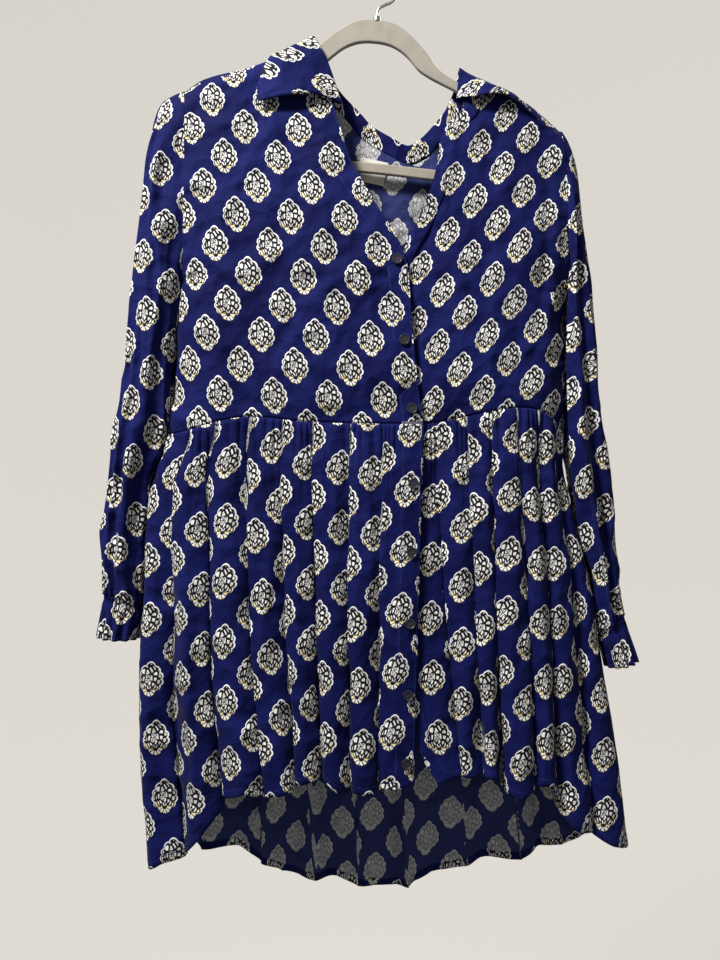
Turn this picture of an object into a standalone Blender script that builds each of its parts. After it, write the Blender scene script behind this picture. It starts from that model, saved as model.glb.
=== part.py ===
# A babydoll dress with a buttoned front, hanging on a slim hanger.
# X runs to the viewer's right, Y from the front to the back and Z up.
# The origin is the top of the hook's inner curve, where a rail holds it.
# Sizes are in millimetres. A drop is a distance below the origin.
# Left and right are the wearer's, so the right front is on the viewer's left.

import math

import bmesh
import bpy
from mathutils import Vector

MM = 0.001

CLOTH = 1.5  # thickness of a cloth wall
BAND = 1.2  # thickness of a front band
SEAM_GAP = 0.3  # between pieces sewn together, and under what is laid on a panel
SIDE_GAP = 0.5  # half the gap between front and back at a side seam
UNDER_ARM = 25.0  # below an armhole the front stands a little further from the back
PANEL_GAP = 0.8  # between panels along the curved waist, shoulder and armhole seams
SHOULDER_GAP = 1.2  # at the shoulder seam, measured down a slope
SLEEVE_GAP = 3.0  # between a hanging sleeve and the body's side line
BAND_GAP = 1.0  # under a band, over the panel's flat facets
TIP_GAP = 1.4  # added where a sleeve bends over the tip of the shoulder
SHOULDER_SEAM = 6.0  # the shoulder seam lies this far in front of the ridge
RIDGE_ROUND = 24.0  # how far below the ridge the shoulder is still rounding over
SIDE_ROUND = 60.0  # how far in from a side seam the body is still rounding over
FLAT_EDGE = 6.0  # an armhole edge that stands this far forward meets the panel flat

HANGER_LEAN = 5.3  # degrees, lower on the viewer's right
HANGER_THICK = 6.0
HOOK_WIRE = 3.4
HOOK_INSIDE = 21.0  # inner radius of the hook's curve
HOOK_TURN = (195, -52)  # degrees round the curve, from the wire's tip to its neck
HOOK_STEPS = 16
HOOK_NECK = ((5.5, 43.5), (1.4, 47), (0, 51.5))  # x and drop of the wire below the curve
HUMP_DROP = 61.0  # from the origin to the top of the hanger's hump

BUTTON_WIDTH = 11.5
BUTTON_THICK = 2.6
BUTTON_EDGE = 0.7  # its face is this much smaller all round than its base
BUTTON_DROPS = (344, 434, 510, 593, 668, 745, 822, 895)
LABEL_X = (-24, 8)
LABEL_REACH = (119, 147)  # from the shoulder ridge
LABEL_SLANT = 6.0
LABEL_THICK = 0.6
BAND_WIDTH_RIGHT = 23.0
BAND_WIDTH_LEFT = 17.0
BAND_START_RIGHT, BAND_START_LEFT = 0.4, 0.36  # share of the bodice's rows above a band

# The ridge of the shoulders: x, drop.
SHOULDER = (
    (-230, 146), (-204, 129), (-162, 118), (-119, 104), (-100, 97.5), (-87, 93.5),
    (-77, 90), (85, 123.5), (99, 131), (158, 152), (189, 175), (208, 192),
)
# The side line on each side of the body, along the armhole and then the side seam: drop, x.
RIGHT_SIDE = (
    (141, -225), (237, -223), (291, -224), (361, -227), (416, -234), (474, -239),
    (538, -243), (612, -266), (727, -271), (842, -277), (1028, -265),
)
LEFT_SIDE = (
    (187, 205), (231, 208), (336, 210), (434, 209), (480, 205), (536, 205),
    (635, 218), (715, 239), (801, 252), (888, 265), (1002, 281),
)
# The free edge of each front, from the neck to the waist: drop, x.
RIGHT_EDGE = (
    (97, -98), (130, -82), (150, -74), (174, -65), (194, -48), (218, -38),
    (274, -9), (320, 18), (350, 28), (423, 33), (500, 41), (530, 45),
)
LEFT_EDGE = (
    (132, 108), (150, 105), (166, 102), (186, 68), (235, 60), (293, 40),
    (346, 15), (422, 10), (495, 17), (530, 21),
)
# The seam of bodice and skirt: x, drop.
WAIST = (
    (-243, 538), (-222, 535), (-200, 529), (-178, 523), (-150, 519), (-120, 520.5),
    (-85, 525), (45, 527), (88, 520), (125, 512), (155, 509), (176, 512), (194, 522),
    (205, 536),
)
# How far the middle of each panel stands from the hanger's plane: drop, front, back.
DEPTH = (
    (90, 11, 8), (160, 14, 10), (220, 20, 12), (290, 26, 13), (346, 30, 14),
    (420, 34, 15), (540, 36, 16),
)
ARMHOLE_DEPTH = (19, 15)  # front, back
RIGHT_ARMHOLE = (143, 366)  # drop at the shoulder and under the arm
LEFT_ARMHOLE = (189, 384)

# Skirt folds, a row for each crest and trough from the side to the front edge:
# x at the waist, x at the hem, how far forward at the hem, drop of the hem.
RIGHT_FOLDS = (
    (-243, -265, 0, 1028), (-229, -247, 31, 1017), (-214, -221, 18, 1008),
    (-200, -197, 50, 976), (-184, -178, 26, 941), (-164, -150, 58, 927),
    (-146, -128, 45, 935), (-128, -110, 57, 930), (-110, -93, 44, 922),
    (-94, -82, 54, 918), (-78, -69, 38, 911), (-58, -49, 59, 926),
    (-36, -32, 43, 927), (-22, -20, 59, 928), (0, -4, 47, 927),
    (22, 13, 58, 923), (45, 33, 54, 917),
)
LEFT_FOLDS = (
    (205, 281, 0, 1002), (200, 255, 34, 994), (193, 232, 22, 981),
    (184, 211, 44, 973), (173, 195, 20, 944), (160, 180, 54, 920),
    (148, 165, 44, 922), (135, 150, 59, 934), (121, 134, 35, 927),
    (107, 121, 55, 912), (93, 110, 44, 911), (78, 97, 53, 912),
    (61, 86, 40, 912), (41, 75, 48, 914), (21, 61, 49, 920),
)
LEFT_UNDER = 5.0  # the left front lies this far under the right one
UNDER_START, UNDER_END = 225.0, 315.0  # drops where it starts to and where it has
UNDER_WIDTH = 58.0  # how far past the right front's edge it is level again
UNDER_SLOPE = 45.0  # width over which it comes level
# The back hem: x, drop.
BACK_HEM = (
    (-265, 1028), (-240, 1026), (-190, 1024), (-166, 1029), (-140, 1045), (-112, 1062),
    (-84, 1061), (-37, 1067), (1, 1079), (47, 1064), (119, 1044), (162, 1037),
    (210, 1024), (250, 1006), (281, 1002),
)
BACK_FOLDS = 9
BACK_CREST, BACK_TROUGH = 42, 25
BACK_UNEVEN = 4.0  # how unlike each other the back's folds are in depth
BACK_DRIFT = 0.012  # and in place, as a share of the back's width
FOLD_GROWTH = 0.75  # below 1, the folds deepen soonest under the waist
# The left front's last folds, from its free edge in, swing away near the hem: powers of v.
PARTING = (8, 4, 2)

# Sleeve rings: x and drop of the outer end, drop of the inner end, depth forward and back.
RIGHT_SLEEVE = (
    (-226, 143, 366, 19, 15), (-249, 157, 396, 24, 19), (-263, 190, 424, 27, 22),
    (-270, 240, 452, 28, 23), (-277, 302, 482, 28, 24), (-285, 370, 514, 28, 24),
    (-291, 446, 552, 28, 25), (-304, 520, 590, 28, 25), (-312, 600, 644, 27, 25),
    (-320, 668, 692, 26, 24), (-318, 718, 727, 22, 20),
)
LEFT_SLEEVE = (
    (207, 189, 384, 19, 15), (213, 208, 412, 23, 18), (220, 246, 440, 26, 21),
    (226, 296, 472, 27, 23), (235, 358, 506, 28, 24), (241, 422, 540, 28, 24),
    (245, 492, 576, 28, 25), (255, 560, 620, 28, 25), (263, 630, 668, 27, 25),
    (269, 698, 722, 26, 24), (276, 742, 761, 22, 20),
)
TUBE_ROUND = 0.85  # below 1, a sleeve's front and back are flatter than a circle's
# Creases that run down a sleeve: how many round it, phase, turn on the way down, share.
SLEEVE_CREASES = ((4, 0.6, 0, 0.5), (7, 0, 2, 0.3))
SLEEVE_CREASE = 0.14
# The bottom of each cuff: x and drop of the outer end, x and drop of the inner end.
RIGHT_CUFF = (-325, 767, -280, 771)
LEFT_CUFF = (292, 793, 258, 803)
CUFF_DEPTH = (26, 24)
CUFF_WAVES = 12
CUFF_WAVE = 0.115  # height of a wave, as a share of the cuff's half width

# Collar stations, from the right front end round the neck to the left front end.
# x and reach of the crest, x and reach of the outer edge, height of the stand, lift.
# A reach is the distance from the shoulder ridge, negative in front.
COLLAR = (
    (-45, -72, -139, -53, 14, 0), (-54, -44, -141, -35, 14, 0), (-65, -16, -134, -18, 14, 1),
    (-72, -7, -129, -8, 15, 5), (-77, 0, -123, 0, 15, 8), (-73, 7, -119, 11, 15, 5),
    (-65, 18, -115, 28, 13, 1), (-48, 46, -96, 72, 16, 0), (-25, 67, -62, 110, 20, 0),
    (-10, 80, -36, 132, 22, 0), (13, 88, 2, 146, 22, 0), (29, 92, 30, 151, 22, 0),
    (44, 81, 58, 140, 22, 0), (59, 62, 88, 115, 20, 0), (75, 37, 112, 80, 16, 0),
    (83, 17, 128, 34, 13, 1), (87, 7, 136, 14, 15, 4), (88, 0, 143, 0, 15, 6),
    (87, -7, 150, -7, 15, 4), (86, -14, 158, -13, 14, 1), (85, -24, 168, -16, 14, 0),
    (84, -34, 177, -20, 14, 0),
)
FALL_LIFT = 3.0  # height of the collar's fall above the bodice
STAND_SHARE, CREST_SHARE = 0.25, 0.625  # of its rows, up to where its crest starts and ends
COLLAR_COLUMNS = 2 * (len(COLLAR) - 1)
NECK_FIRST, NECK_LAST = 11, 31  # the collar's columns that meet the back neck
FRONT_COLUMNS = 16
SHOULDER_COLUMNS = 8  # of the back, on each side of the neck
NECK_STEP = 2.5  # from a shoulder's neck end to the column on the ridge beside it
BACK_COLUMNS = 2 * SHOULDER_COLUMNS + NECK_LAST - NECK_FIRST + 4
FOLD_STEPS = 3  # columns from a crest to the next trough
SKIRT_ROWS = 8
BAND_ROWS = 24
# Rows of a front, and of the back, close together at the ridge: row, share of the way down.
FRONT_ROWS = ((0, 0), (1, 0.01), (2, 0.026), (3, 0.05), (4, 0.1), (13, 1))
BACK_ROWS = (
    (0, 0), (1, 0.008), (2, 0.016), (3, 0.024), (4, 0.038), (5, 0.06), (6, 0.1), (14, 1),
)

# The hanger's outline, right half, from the middle of the hump: x, drop below the hump.
HANGER_OUTER = (
    (0, 0), (12, 0.6), (24, 3.8), (34, 9.5), (44, 17), (54, 26), (62, 34.5), (70, 45),
    (80, 53), (94, 60.5), (112, 69), (150, 82), (194, 104), (201, 109), (204, 117),
    (201, 132), (192, 153), (181, 169), (168, 175.5), (0, 175.5),
)
HANGER_INNER = (
    (0, 26), (16, 27.5), (27, 31.5), (36, 37), (45, 45), (53, 53), (62, 58.5),
    (94, 72), (112, 80), (150, 94), (186, 112), (191, 118), (189, 131), (182, 148),
    (174, 159), (163, 164), (0, 164),
)

CLOTH_BLUE = (0.028, 0.036, 0.26, 1)
HANGER_GREY = (0.52, 0.47, 0.39, 1)
STEEL = (0.55, 0.54, 0.52, 1)
BUTTON_BLACK = (0.012, 0.012, 0.018, 1)
LABEL_WHITE = (0.62, 0.6, 0.54, 1)


def read(rows, place, column=1):
    """A smooth curve through a table, read at a place in its first column."""
    last = len(rows) - 2
    i = 0
    while i < last and rows[i + 1][0] < place:
        i += 1

    def slope(k):
        return (rows[k + 1][column] - rows[k][column]) / (rows[k + 1][0] - rows[k][0])

    def tangent(k):
        if k <= 0 or k >= len(rows) - 1:
            return slope(min(max(k, 0), last))
        before, after = slope(k - 1), slope(k)
        return 0.0 if before * after <= 0 else 2 * before * after / (before + after)

    span = rows[i + 1][0] - rows[i][0]
    t = (place - rows[i][0]) / span
    if not 0 <= t <= 1:
        t = min(max(t, 0.0), 1.0)
    rise = rows[i + 1][column] - rows[i][column]
    bend = t * (1 - t) * span
    ease = t * t * (3 - 2 * t)
    return rows[i][column] + rise * ease + bend * ((1 - t) * tangent(i) - t * tangent(i + 1))


def mix(a, b, t):
    return a + (b - a) * t


def from_seam(share):
    """Spreads a fold's columns from a rounded side seam, close together at the seam."""
    return (1 - math.cos(share * math.pi / 2)) ** 1.25


def between_edges(share):
    """Spreads a panel's columns, close together at its rounded side and its other edge."""
    return (0.5 - 0.5 * math.cos(share * math.pi)) ** 1.25


def shoulder(x):
    return read(SHOULDER, x)


def side_line(drop, wearers_left):
    return read(LEFT_SIDE if wearers_left else RIGHT_SIDE, drop)


def rounding(share):
    """A quarter circle from 0 at the edge to 1."""
    return math.sqrt(max(0.0, 1 - (1 - min(1.0, max(0.0, share))) ** 2))


def armhole_depth(drop, wearers_left, back):
    top, bottom = LEFT_ARMHOLE if wearers_left else RIGHT_ARMHOLE
    share = (drop - top) / (bottom - top)
    if not 0 < share < 1:
        return 0.0
    return ARMHOLE_DEPTH[back] * (2 * math.sqrt(share * (1 - share))) ** TUBE_ROUND


def depth(x, drop, back):
    """How far the bodice stands from the hanger's plane."""
    middle = 0.5 * (side_line(drop, False) + side_line(drop, True))
    wearers_left = x > middle
    edge = armhole_depth(drop, wearers_left, back)
    inward = abs(x - side_line(drop, wearers_left)) / SIDE_ROUND
    sloping = math.sin(min(1.0, inward) * math.pi / 2)
    inward = mix(rounding(inward), sloping, min(1.0, edge / FLAT_EDGE))
    full = read(DEPTH, drop, 2 if back else 1)
    return mix(edge, rounding((drop - shoulder(x)) / RIDGE_ROUND) * full, inward)


def on_body(x, reach, lift=0.0):
    """A point of the bodice's outer face, or lifted off it. Reach is negative in front."""
    back = reach > 0
    turn = math.acos(1 - min(1.0, abs(reach) / RIDGE_ROUND))
    drop = shoulder(x) + abs(reach)
    out = depth(x, drop, back) + lift * math.sin(turn)
    return Vector((x, out if back else -out, -drop + lift * math.cos(turn)))


def on_ring(row, wearers_left, turn):
    """A point of a sleeve's ring. Turn runs from the outer end over the front."""
    x_outer, drop_outer, drop_inner, forward, backward = row
    share = 0.5 - 0.5 * math.cos(turn)
    gap = SLEEVE_GAP if wearers_left else -SLEEVE_GAP
    x = mix(x_outer, side_line(drop_inner, wearers_left) + gap, share)
    across = math.sin(turn)
    out = (-forward if across > 0 else backward) * abs(across) ** TUBE_ROUND
    return Vector((x, out, -mix(drop_outer, drop_inner, share)))


def on_armhole(wearers_left, turn):
    """A point of the sleeve's top, which follows the edge of the bodice."""
    top, bottom = LEFT_ARMHOLE if wearers_left else RIGHT_ARMHOLE
    drop = mix(top, bottom, 0.5 - 0.5 * math.cos(turn))
    x = side_line(drop, wearers_left)
    back = turn < 0
    out = depth(x, drop, back)
    gap = PANEL_GAP + TIP_GAP * max(0.0, math.cos(turn)) ** 8
    return Vector((x + (gap if wearers_left else -gap), out if back else -out, -drop))


def bodice_front(wearers_left):
    """The point of a front at u, from the side to the free edge, and v, downwards."""
    rows = LEFT_EDGE if wearers_left else RIGHT_EDGE
    armhole_end = (LEFT_ARMHOLE if wearers_left else RIGHT_ARMHOLE)[1]

    def place(u, v):
        v = read(FRONT_ROWS, v * FRONT_ROWS[-1][0])
        inward = between_edges(u)
        top_side = side_line(shoulder(rows[0][1]), wearers_left)
        top = mix(top_side, rows[0][1], inward)
        waist_side = side_line(WAIST[-1 if wearers_left else 0][1], wearers_left)
        bottom = mix(waist_side, rows[-1][1], inward)
        start = shoulder(top) + SHOULDER_SEAM + SHOULDER_GAP
        drop = mix(start, read(WAIST, bottom), v)
        side_start = shoulder(top_side) + SHOULDER_SEAM + SHOULDER_GAP
        side_drop = mix(side_start, read(WAIST, waist_side), v)
        edge_drop = mix(rows[0][0], read(WAIST, rows[-1][1]), v)
        x = mix(side_line(side_drop, wearers_left), read(rows, edge_drop), inward)
        out = depth(x, drop, False)
        if wearers_left:
            out -= under_right(x, drop)
        under_arm = math.exp(-(((drop - armhole_end) / UNDER_ARM - 0.8) ** 2))
        return Vector((x, min(-out, -SIDE_GAP - under_arm), -drop))

    return place


def under_right(x, drop):
    """How far the left front tucks in under the right one, below the neckline's end."""
    reach = min(1.0, max(0.0, (read(RIGHT_EDGE, drop) + UNDER_WIDTH - x) / UNDER_SLOPE))
    below = min(1.0, max(0.0, (drop - UNDER_START) / (UNDER_END - UNDER_START)))
    return LEFT_UNDER * reach * math.sin(below * math.pi / 2)


def numbered(rows):
    """A table with each row's number before it, to be read between rows."""
    return [(number,) + row for number, row in enumerate(rows)]


def neck_seam(s):
    """The seam of collar and bodice: x and reach at s, round the neck."""
    rows, place = numbered(COLLAR), s * (len(COLLAR) - 1)
    x, reach, x_edge, reach_edge, stand = (read(rows, place, c) for c in range(1, 6))
    length = math.hypot(x_edge - x, reach_edge - reach)
    return x + (x_edge - x) * stand / length, reach + (reach_edge - reach) * stand / length


def bodice_back():
    """The back goes over the shoulder ridge to the shoulder seam in front."""
    right_neck, left_neck = RIGHT_EDGE[0][1], LEFT_EDGE[0][1]
    right_side, left_side = WAIST[0][0], WAIST[-1][0]

    def top_of(column):
        """Where a column starts: x and reach."""
        if column <= SHOULDER_COLUMNS:
            share = between_edges(column / SHOULDER_COLUMNS)
            return mix(side_line(RIGHT_ARMHOLE[0], False), right_neck, share), -SHOULDER_SEAM
        if column >= BACK_COLUMNS - SHOULDER_COLUMNS:
            share = between_edges((BACK_COLUMNS - column) / SHOULDER_COLUMNS)
            return mix(side_line(LEFT_ARMHOLE[0], True), left_neck, share), -SHOULDER_SEAM
        if column == SHOULDER_COLUMNS + 1:
            return right_neck + NECK_STEP, 0
        if column == BACK_COLUMNS - SHOULDER_COLUMNS - 1:
            return left_neck - NECK_STEP, 1
        station = column - SHOULDER_COLUMNS - 2 + NECK_FIRST
        x, reach = neck_seam(station / COLLAR_COLUMNS)
        return x, reach + PANEL_GAP

    def place(u, v):
        column = round(u * BACK_COLUMNS)
        top, start = top_of(column)
        right_top, left_top = top_of(0)[0], top_of(BACK_COLUMNS)[0]
        share_top = (top - right_top) / (left_top - right_top)
        half = 0.5 * from_seam(min(u, 1 - u) * 2)
        share_bottom = half if u <= 0.5 else 1 - half
        bottom = mix(right_side, left_side, share_bottom)
        end = read(WAIST, bottom) - shoulder(bottom)
        fall = read(BACK_ROWS, v * BACK_ROWS[-1][0])
        reach = mix(start, end, fall)
        share = mix(share_top, share_bottom, fall)
        drop = shoulder(mix(top, bottom, fall)) + abs(reach)
        x = mix(side_line(drop, False), side_line(drop, True), share)
        point = on_body(x, reach)
        if v == 1:
            point.z = -read(WAIST, bottom)
        if reach > 0:
            point.y = max(point.y, SIDE_GAP)
        return point

    return place


def skirt_front(wearers_left):
    """The point of a skirt front at u, from the side to the free edge, and v, downwards."""
    folds = LEFT_FOLDS if wearers_left else RIGHT_FOLDS
    count = len(folds) - 1

    def line(i, v):
        x_waist, x_hem, forward, drop_hem = folds[i]
        top = read(WAIST, x_waist) + PANEL_GAP
        drop = mix(top, drop_hem, v)
        straight = mix(folds[0][0], folds[0][1], v)
        side_drop = mix(WAIST[-1 if wearers_left else 0][1], folds[0][3], v)
        bow = side_line(side_drop, wearers_left) - straight
        late = PARTING[count - i] if wearers_left and count - i < len(PARTING) else 1
        x = mix(x_waist, x_hem, v**late) + bow * (1 - i / count) ** 2
        waist_out = depth(x_waist, top, False)
        if wearers_left:
            waist_out -= under_right(x_waist, top)
        return x, mix(waist_out, forward, v**FOLD_GROWTH) if i else 0.0, drop

    return lambda u, v: across(line, count, u, v, -1)


def skirt_back():
    """The point of the skirt's back at u, from the right side to the left, and v."""
    count = 2 * BACK_FOLDS
    right, left = RIGHT_FOLDS[0], LEFT_FOLDS[0]

    def line(i, v):
        share = i / count + (BACK_DRIFT * math.sin(2.3 * i) if 0 < i < count else 0)
        x_waist = mix(right[0], left[0], share)
        x_hem = mix(right[1], left[1], share)
        top = read(WAIST, x_waist) + PANEL_GAP
        drop = mix(top, read(BACK_HEM, x_hem), v)
        bow_right = side_line(mix(top, right[3], v), False) - mix(right[0], right[1], v)
        bow_left = side_line(mix(top, left[3], v), True) - mix(left[0], left[1], v)
        x = mix(x_waist, x_hem, v)
        x += bow_right * (1 - share) ** 4 + bow_left * share**4
        if i in (0, count):
            return x, 0.0, drop
        full = (BACK_CREST if i % 2 else BACK_TROUGH) + BACK_UNEVEN * math.sin(1.7 * i)
        waist_out = depth(x_waist, top, True)
        return x, mix(waist_out, full, v**FOLD_GROWTH), drop

    return lambda u, v: across(line, count, u, v, 1)


def across(line, count, u, v, side):
    """Joins a skirt's fold lines with soft waves, rounded at the side seams."""
    i = min(int(u * count), count - 1)
    t = u * count - i
    a, b = line(i, v), line(i + 1, v)
    if i == 0:
        along, out = from_seam(t), math.sin(t * math.pi / 2)
    elif i == count - 1 and side > 0:
        along, out = 1 - from_seam(1 - t), 1 - math.sin((1 - t) * math.pi / 2)
    else:
        along, out = t, t * t * (3 - 2 * t)
    forward = max(mix(a[1], b[1], out), SIDE_GAP)
    return Vector((mix(a[0], b[0], along), side * forward, -mix(a[2], b[2], along)))


def sleeve(wearers_left):
    rows = numbered(LEFT_SLEEVE if wearers_left else RIGHT_SLEEVE)
    last = len(rows) - 1

    def place(u, v):
        at = v * last
        row = tuple(read(rows, at, c) for c in range(1, 6))
        turn = math.remainder(u, 1.0) * 2 * math.pi
        point = on_ring(row, wearers_left, turn)
        if at < 1:
            point = on_armhole(wearers_left, turn).lerp(point, at)
        crease = sum(
            size * math.sin(count * turn + phase + drift * v)
            for count, phase, drift, size in SLEEVE_CREASES
        )
        point.y *= 1 + SLEEVE_CREASE * crease * min(1.0, v * 2)
        return point

    return place


def cuff(wearers_left):
    rows = LEFT_SLEEVE if wearers_left else RIGHT_SLEEVE
    x_outer, drop_outer, x_inner, drop_inner = LEFT_CUFF if wearers_left else RIGHT_CUFF

    def place(u, v):
        turn = math.remainder(u, 1.0) * 2 * math.pi
        top = on_ring(rows[-1], wearers_left, turn)
        top.z -= PANEL_GAP
        share = 0.5 - 0.5 * math.cos(turn)
        wave = 1 + CUFF_WAVE * math.sin(CUFF_WAVES * turn)
        side = math.sin(turn) * CUFF_DEPTH[0 if turn > 0 else 1]
        middle = 0.5 * (x_outer + x_inner)
        x = middle + (mix(x_outer, x_inner, share) - middle) * wave
        bottom = Vector((x, -side * wave, -mix(drop_outer, drop_inner, share)))
        return top.lerp(bottom, v)

    return place


def collar():
    rows = numbered(COLLAR)
    radius = 0.5 * (FALL_LIFT + CLOTH)
    middle = FALL_LIFT - radius

    def place(u, v):
        at = u * (len(COLLAR) - 1)
        x, reach, x_edge, reach_edge, stand, lift = (read(rows, at, c) for c in range(1, 7))
        length = math.hypot(x_edge - x, reach_edge - reach)
        along = Vector(((x_edge - x) / length, (reach_edge - reach) / length))
        if v < STAND_SHARE:
            distance, height = mix(stand - SEAM_GAP * 2, radius, v / STAND_SHARE), -CLOTH
        elif v < CREST_SHARE:
            bend = (v - STAND_SHARE) / (CREST_SHARE - STAND_SHARE) * math.pi
            distance = radius * (1 - math.sin(bend))
            height = middle - radius * math.cos(bend)
        else:
            along_fall = (v - CREST_SHARE) / (1 - CREST_SHARE)
            distance, height = mix(radius, length, along_fall), FALL_LIFT
        fade = max(0.0, 1 - distance / length)
        return on_body(x + along.x * distance, reach + along.y * distance, height + lift * fade)

    return place


def whole_front(wearers_left):
    """A front from the neck, v 0, over the waist, v 1, to the hem, v 2."""
    bodice, skirt = bodice_front(wearers_left), skirt_front(wearers_left)
    return lambda u, v: bodice(u, v) if v <= 1 else skirt(u, v - 1)


def inset(front, v, distance):
    """The u of the point that lies this far in from a front's free edge."""
    u, gone, last = 1.0, 0.0, front(1.0, v)
    while gone < distance:
        u -= 0.004
        point = front(u, v)
        gone += (point - last).length
        last = point
    return u


def face_out(front, u, v):
    """The direction that a front faces at a point."""
    step = 0.004
    low, high = front(u - step, v), front(min(1, u + step), v)
    top, bottom = front(u, max(0, v - step)), front(u, min(2, v + step))
    normal = (high - low).cross(bottom - top).normalized()
    return normal if normal.y < 0 else -normal


def band(wearers_left):
    """The band on a front's free edge, lying on the panel."""
    front = whole_front(wearers_left)
    width = BAND_WIDTH_LEFT if wearers_left else BAND_WIDTH_RIGHT
    start = BAND_START_LEFT if wearers_left else BAND_START_RIGHT

    def place(u, v):
        down = mix(start, 2, v)
        at = mix(1, inset(front, down, width), u)
        return front(at, down) + face_out(front, at, down) * (BAND + BAND_GAP)

    return place


def material(name, colour, roughness, metallic=0.0):
    made = bpy.data.materials.new(name)
    made.use_nodes = True
    shader = made.node_tree.nodes["Principled BSDF"]
    shader.inputs["Base Color"].default_value = colour
    shader.inputs["Roughness"].default_value = roughness
    shader.inputs["Metallic"].default_value = metallic
    return made


def add(name, mesh_or_curve, look):
    made = bpy.data.objects.new(name, mesh_or_curve)
    mesh_or_curve.materials.append(look)
    dress.objects.link(made)
    return made


def wall(name, place, columns, rows, look, thick=CLOTH, faces=0):
    """Cloth on the points that place gives, with its thickness inside.

    Faces is the side in Y that the sheet's middle faces, or 0 for a tube.
    """
    shape = bmesh.new()
    bmesh.ops.create_grid(shape, x_segments=columns, y_segments=rows, size=1)
    for vertex in shape.verts:
        u, v = (vertex.co.x + 1) / 2, (vertex.co.y + 1) / 2
        vertex.co = place(round(u, 6), round(v, 6)) * MM
    if faces:
        middle, step = place(0.5, 0.8), 0.01
        facing = (place(0.5 + step, 0.8) - middle).cross(place(0.5, 0.8 + step) - middle)
        if facing.y * faces < 0:
            bmesh.ops.reverse_faces(shape, faces=shape.faces)
    else:
        bmesh.ops.remove_doubles(shape, verts=shape.verts, dist=0.00002)
        bmesh.ops.recalc_face_normals(shape, faces=shape.faces)
        if tube_is_inside_out(shape):
            bmesh.ops.reverse_faces(shape, faces=shape.faces)
    mesh = bpy.data.meshes.new(name)
    shape.to_mesh(mesh)
    shape.free()
    mesh.shade_smooth()
    made = add(name, mesh, look)
    solid = made.modifiers.new("wall", "SOLIDIFY")
    solid.thickness = thick * MM
    solid.offset = -1
    return made


def tube_is_inside_out(shape):
    """Whether the faces at the front of an open tube point to its back."""
    front = min(shape.faces, key=lambda face: face.calc_center_median().y)
    return front.normal.y > 0


def outline(name, loops, thick, look):
    """A flat plate in the XZ plane from closed outlines; a later loop is a hole."""
    curve = bpy.data.curves.new(name, "CURVE")
    curve.dimensions = "2D"
    curve.fill_mode = "BOTH"
    curve.extrude = thick * MM / 2
    for points in loops:
        spline = curve.splines.new("POLY")
        spline.points.add(len(points) - 1)
        for point, (x, z) in zip(spline.points, points):
            point.co = (x * MM, z * MM, 0, 1)
        spline.use_cyclic_u = True
    return add(name, curve, look)


def both_halves(rows):
    """A closed outline from its right half, in x and height under the hook."""
    right = [(x, -HUMP_DROP - drop) for x, drop in rows]
    return right + [(-x, z) for x, z in reversed(right) if x > 0]


def hanger_body():
    plate = outline(
        "hanger_body",
        [both_halves(HANGER_OUTER), both_halves(HANGER_INNER)],
        HANGER_THICK,
        material("hanger velvet", HANGER_GREY, 0.9),
    )
    plate.rotation_euler = (math.radians(90), math.radians(HANGER_LEAN), 0)


def hanger_hook():
    """Wire that stands on the hump and bends into a hook, open to the viewer's left."""
    curve = bpy.data.curves.new("hanger_hook", "CURVE")
    curve.dimensions = "3D"
    curve.bevel_depth = HOOK_WIRE / 2 * MM
    curve.bevel_resolution = 2
    curve.use_fill_caps = True
    radius = HOOK_INSIDE + HOOK_WIRE / 2
    points = []
    for i in range(HOOK_STEPS + 1):
        turn = math.radians(mix(*HOOK_TURN, i / HOOK_STEPS))
        points.append((radius * math.cos(turn), radius * math.sin(turn) - HOOK_INSIDE))
    points += [(x, -drop) for x, drop in HOOK_NECK]
    points.append((0, SEAM_GAP - HUMP_DROP))
    spline = curve.splines.new("POLY")
    spline.points.add(len(points) - 1)
    for point, (x, z) in zip(spline.points, points):
        point.co = (x * MM, 0, z * MM, 1)
    made = add("hanger_hook", curve, material("hook steel", STEEL, 0.3, 1.0))
    made.rotation_euler = (0, math.radians(HANGER_LEAN), 0)


def button_place(front, drop):
    """The u and v on the band's middle line at a drop, found by halving."""
    high, low = BAND_START_RIGHT, 2.0
    for _ in range(20):
        v = (high + low) / 2
        u = inset(front, v, BAND_WIDTH_RIGHT / 2)
        if -front(u, v).z < drop:
            high = v
        else:
            low = v
    return u, v


def buttons(look):
    """Round buttons down the right band."""
    front = whole_front(False)
    lift = BAND + BAND_GAP + SEAM_GAP * 2 + BUTTON_THICK / 2
    for number, drop in enumerate(BUTTON_DROPS, 1):
        u, v = button_place(front, drop)
        out = face_out(front, u, v)
        disc = bmesh.new()
        bmesh.ops.create_cone(
            disc, cap_ends=True, segments=14, radius1=BUTTON_WIDTH / 2 * MM,
            radius2=(BUTTON_WIDTH / 2 - BUTTON_EDGE) * MM, depth=BUTTON_THICK * MM,
        )
        mesh = bpy.data.meshes.new(f"button_{number}")
        disc.to_mesh(mesh)
        disc.free()
        made = add(f"button_{number}", mesh, look)
        made.rotation_euler = out.to_track_quat("Z", "Y").to_euler()
        made.location = (front(u, v) + out * lift) * MM


def label(look):
    """A blank woven label on the inside of the back, under the neck seam."""
    def place(u, v):
        x = mix(*LABEL_X, u) - LABEL_SLANT * v
        return on_body(x, mix(*LABEL_REACH, v), -CLOTH - SEAM_GAP)

    wall("label", place, 3, 2, look, thick=LABEL_THICK, faces=1)


for old in list(bpy.data.objects):
    bpy.data.objects.remove(old, do_unlink=True)
dress = bpy.data.collections.new("babydoll dress on a hanger")
bpy.context.scene.collection.children.link(dress)

cotton = material("printed cotton", CLOTH_BLUE, 0.85)
black = material("button black", BUTTON_BLACK, 0.35)

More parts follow.
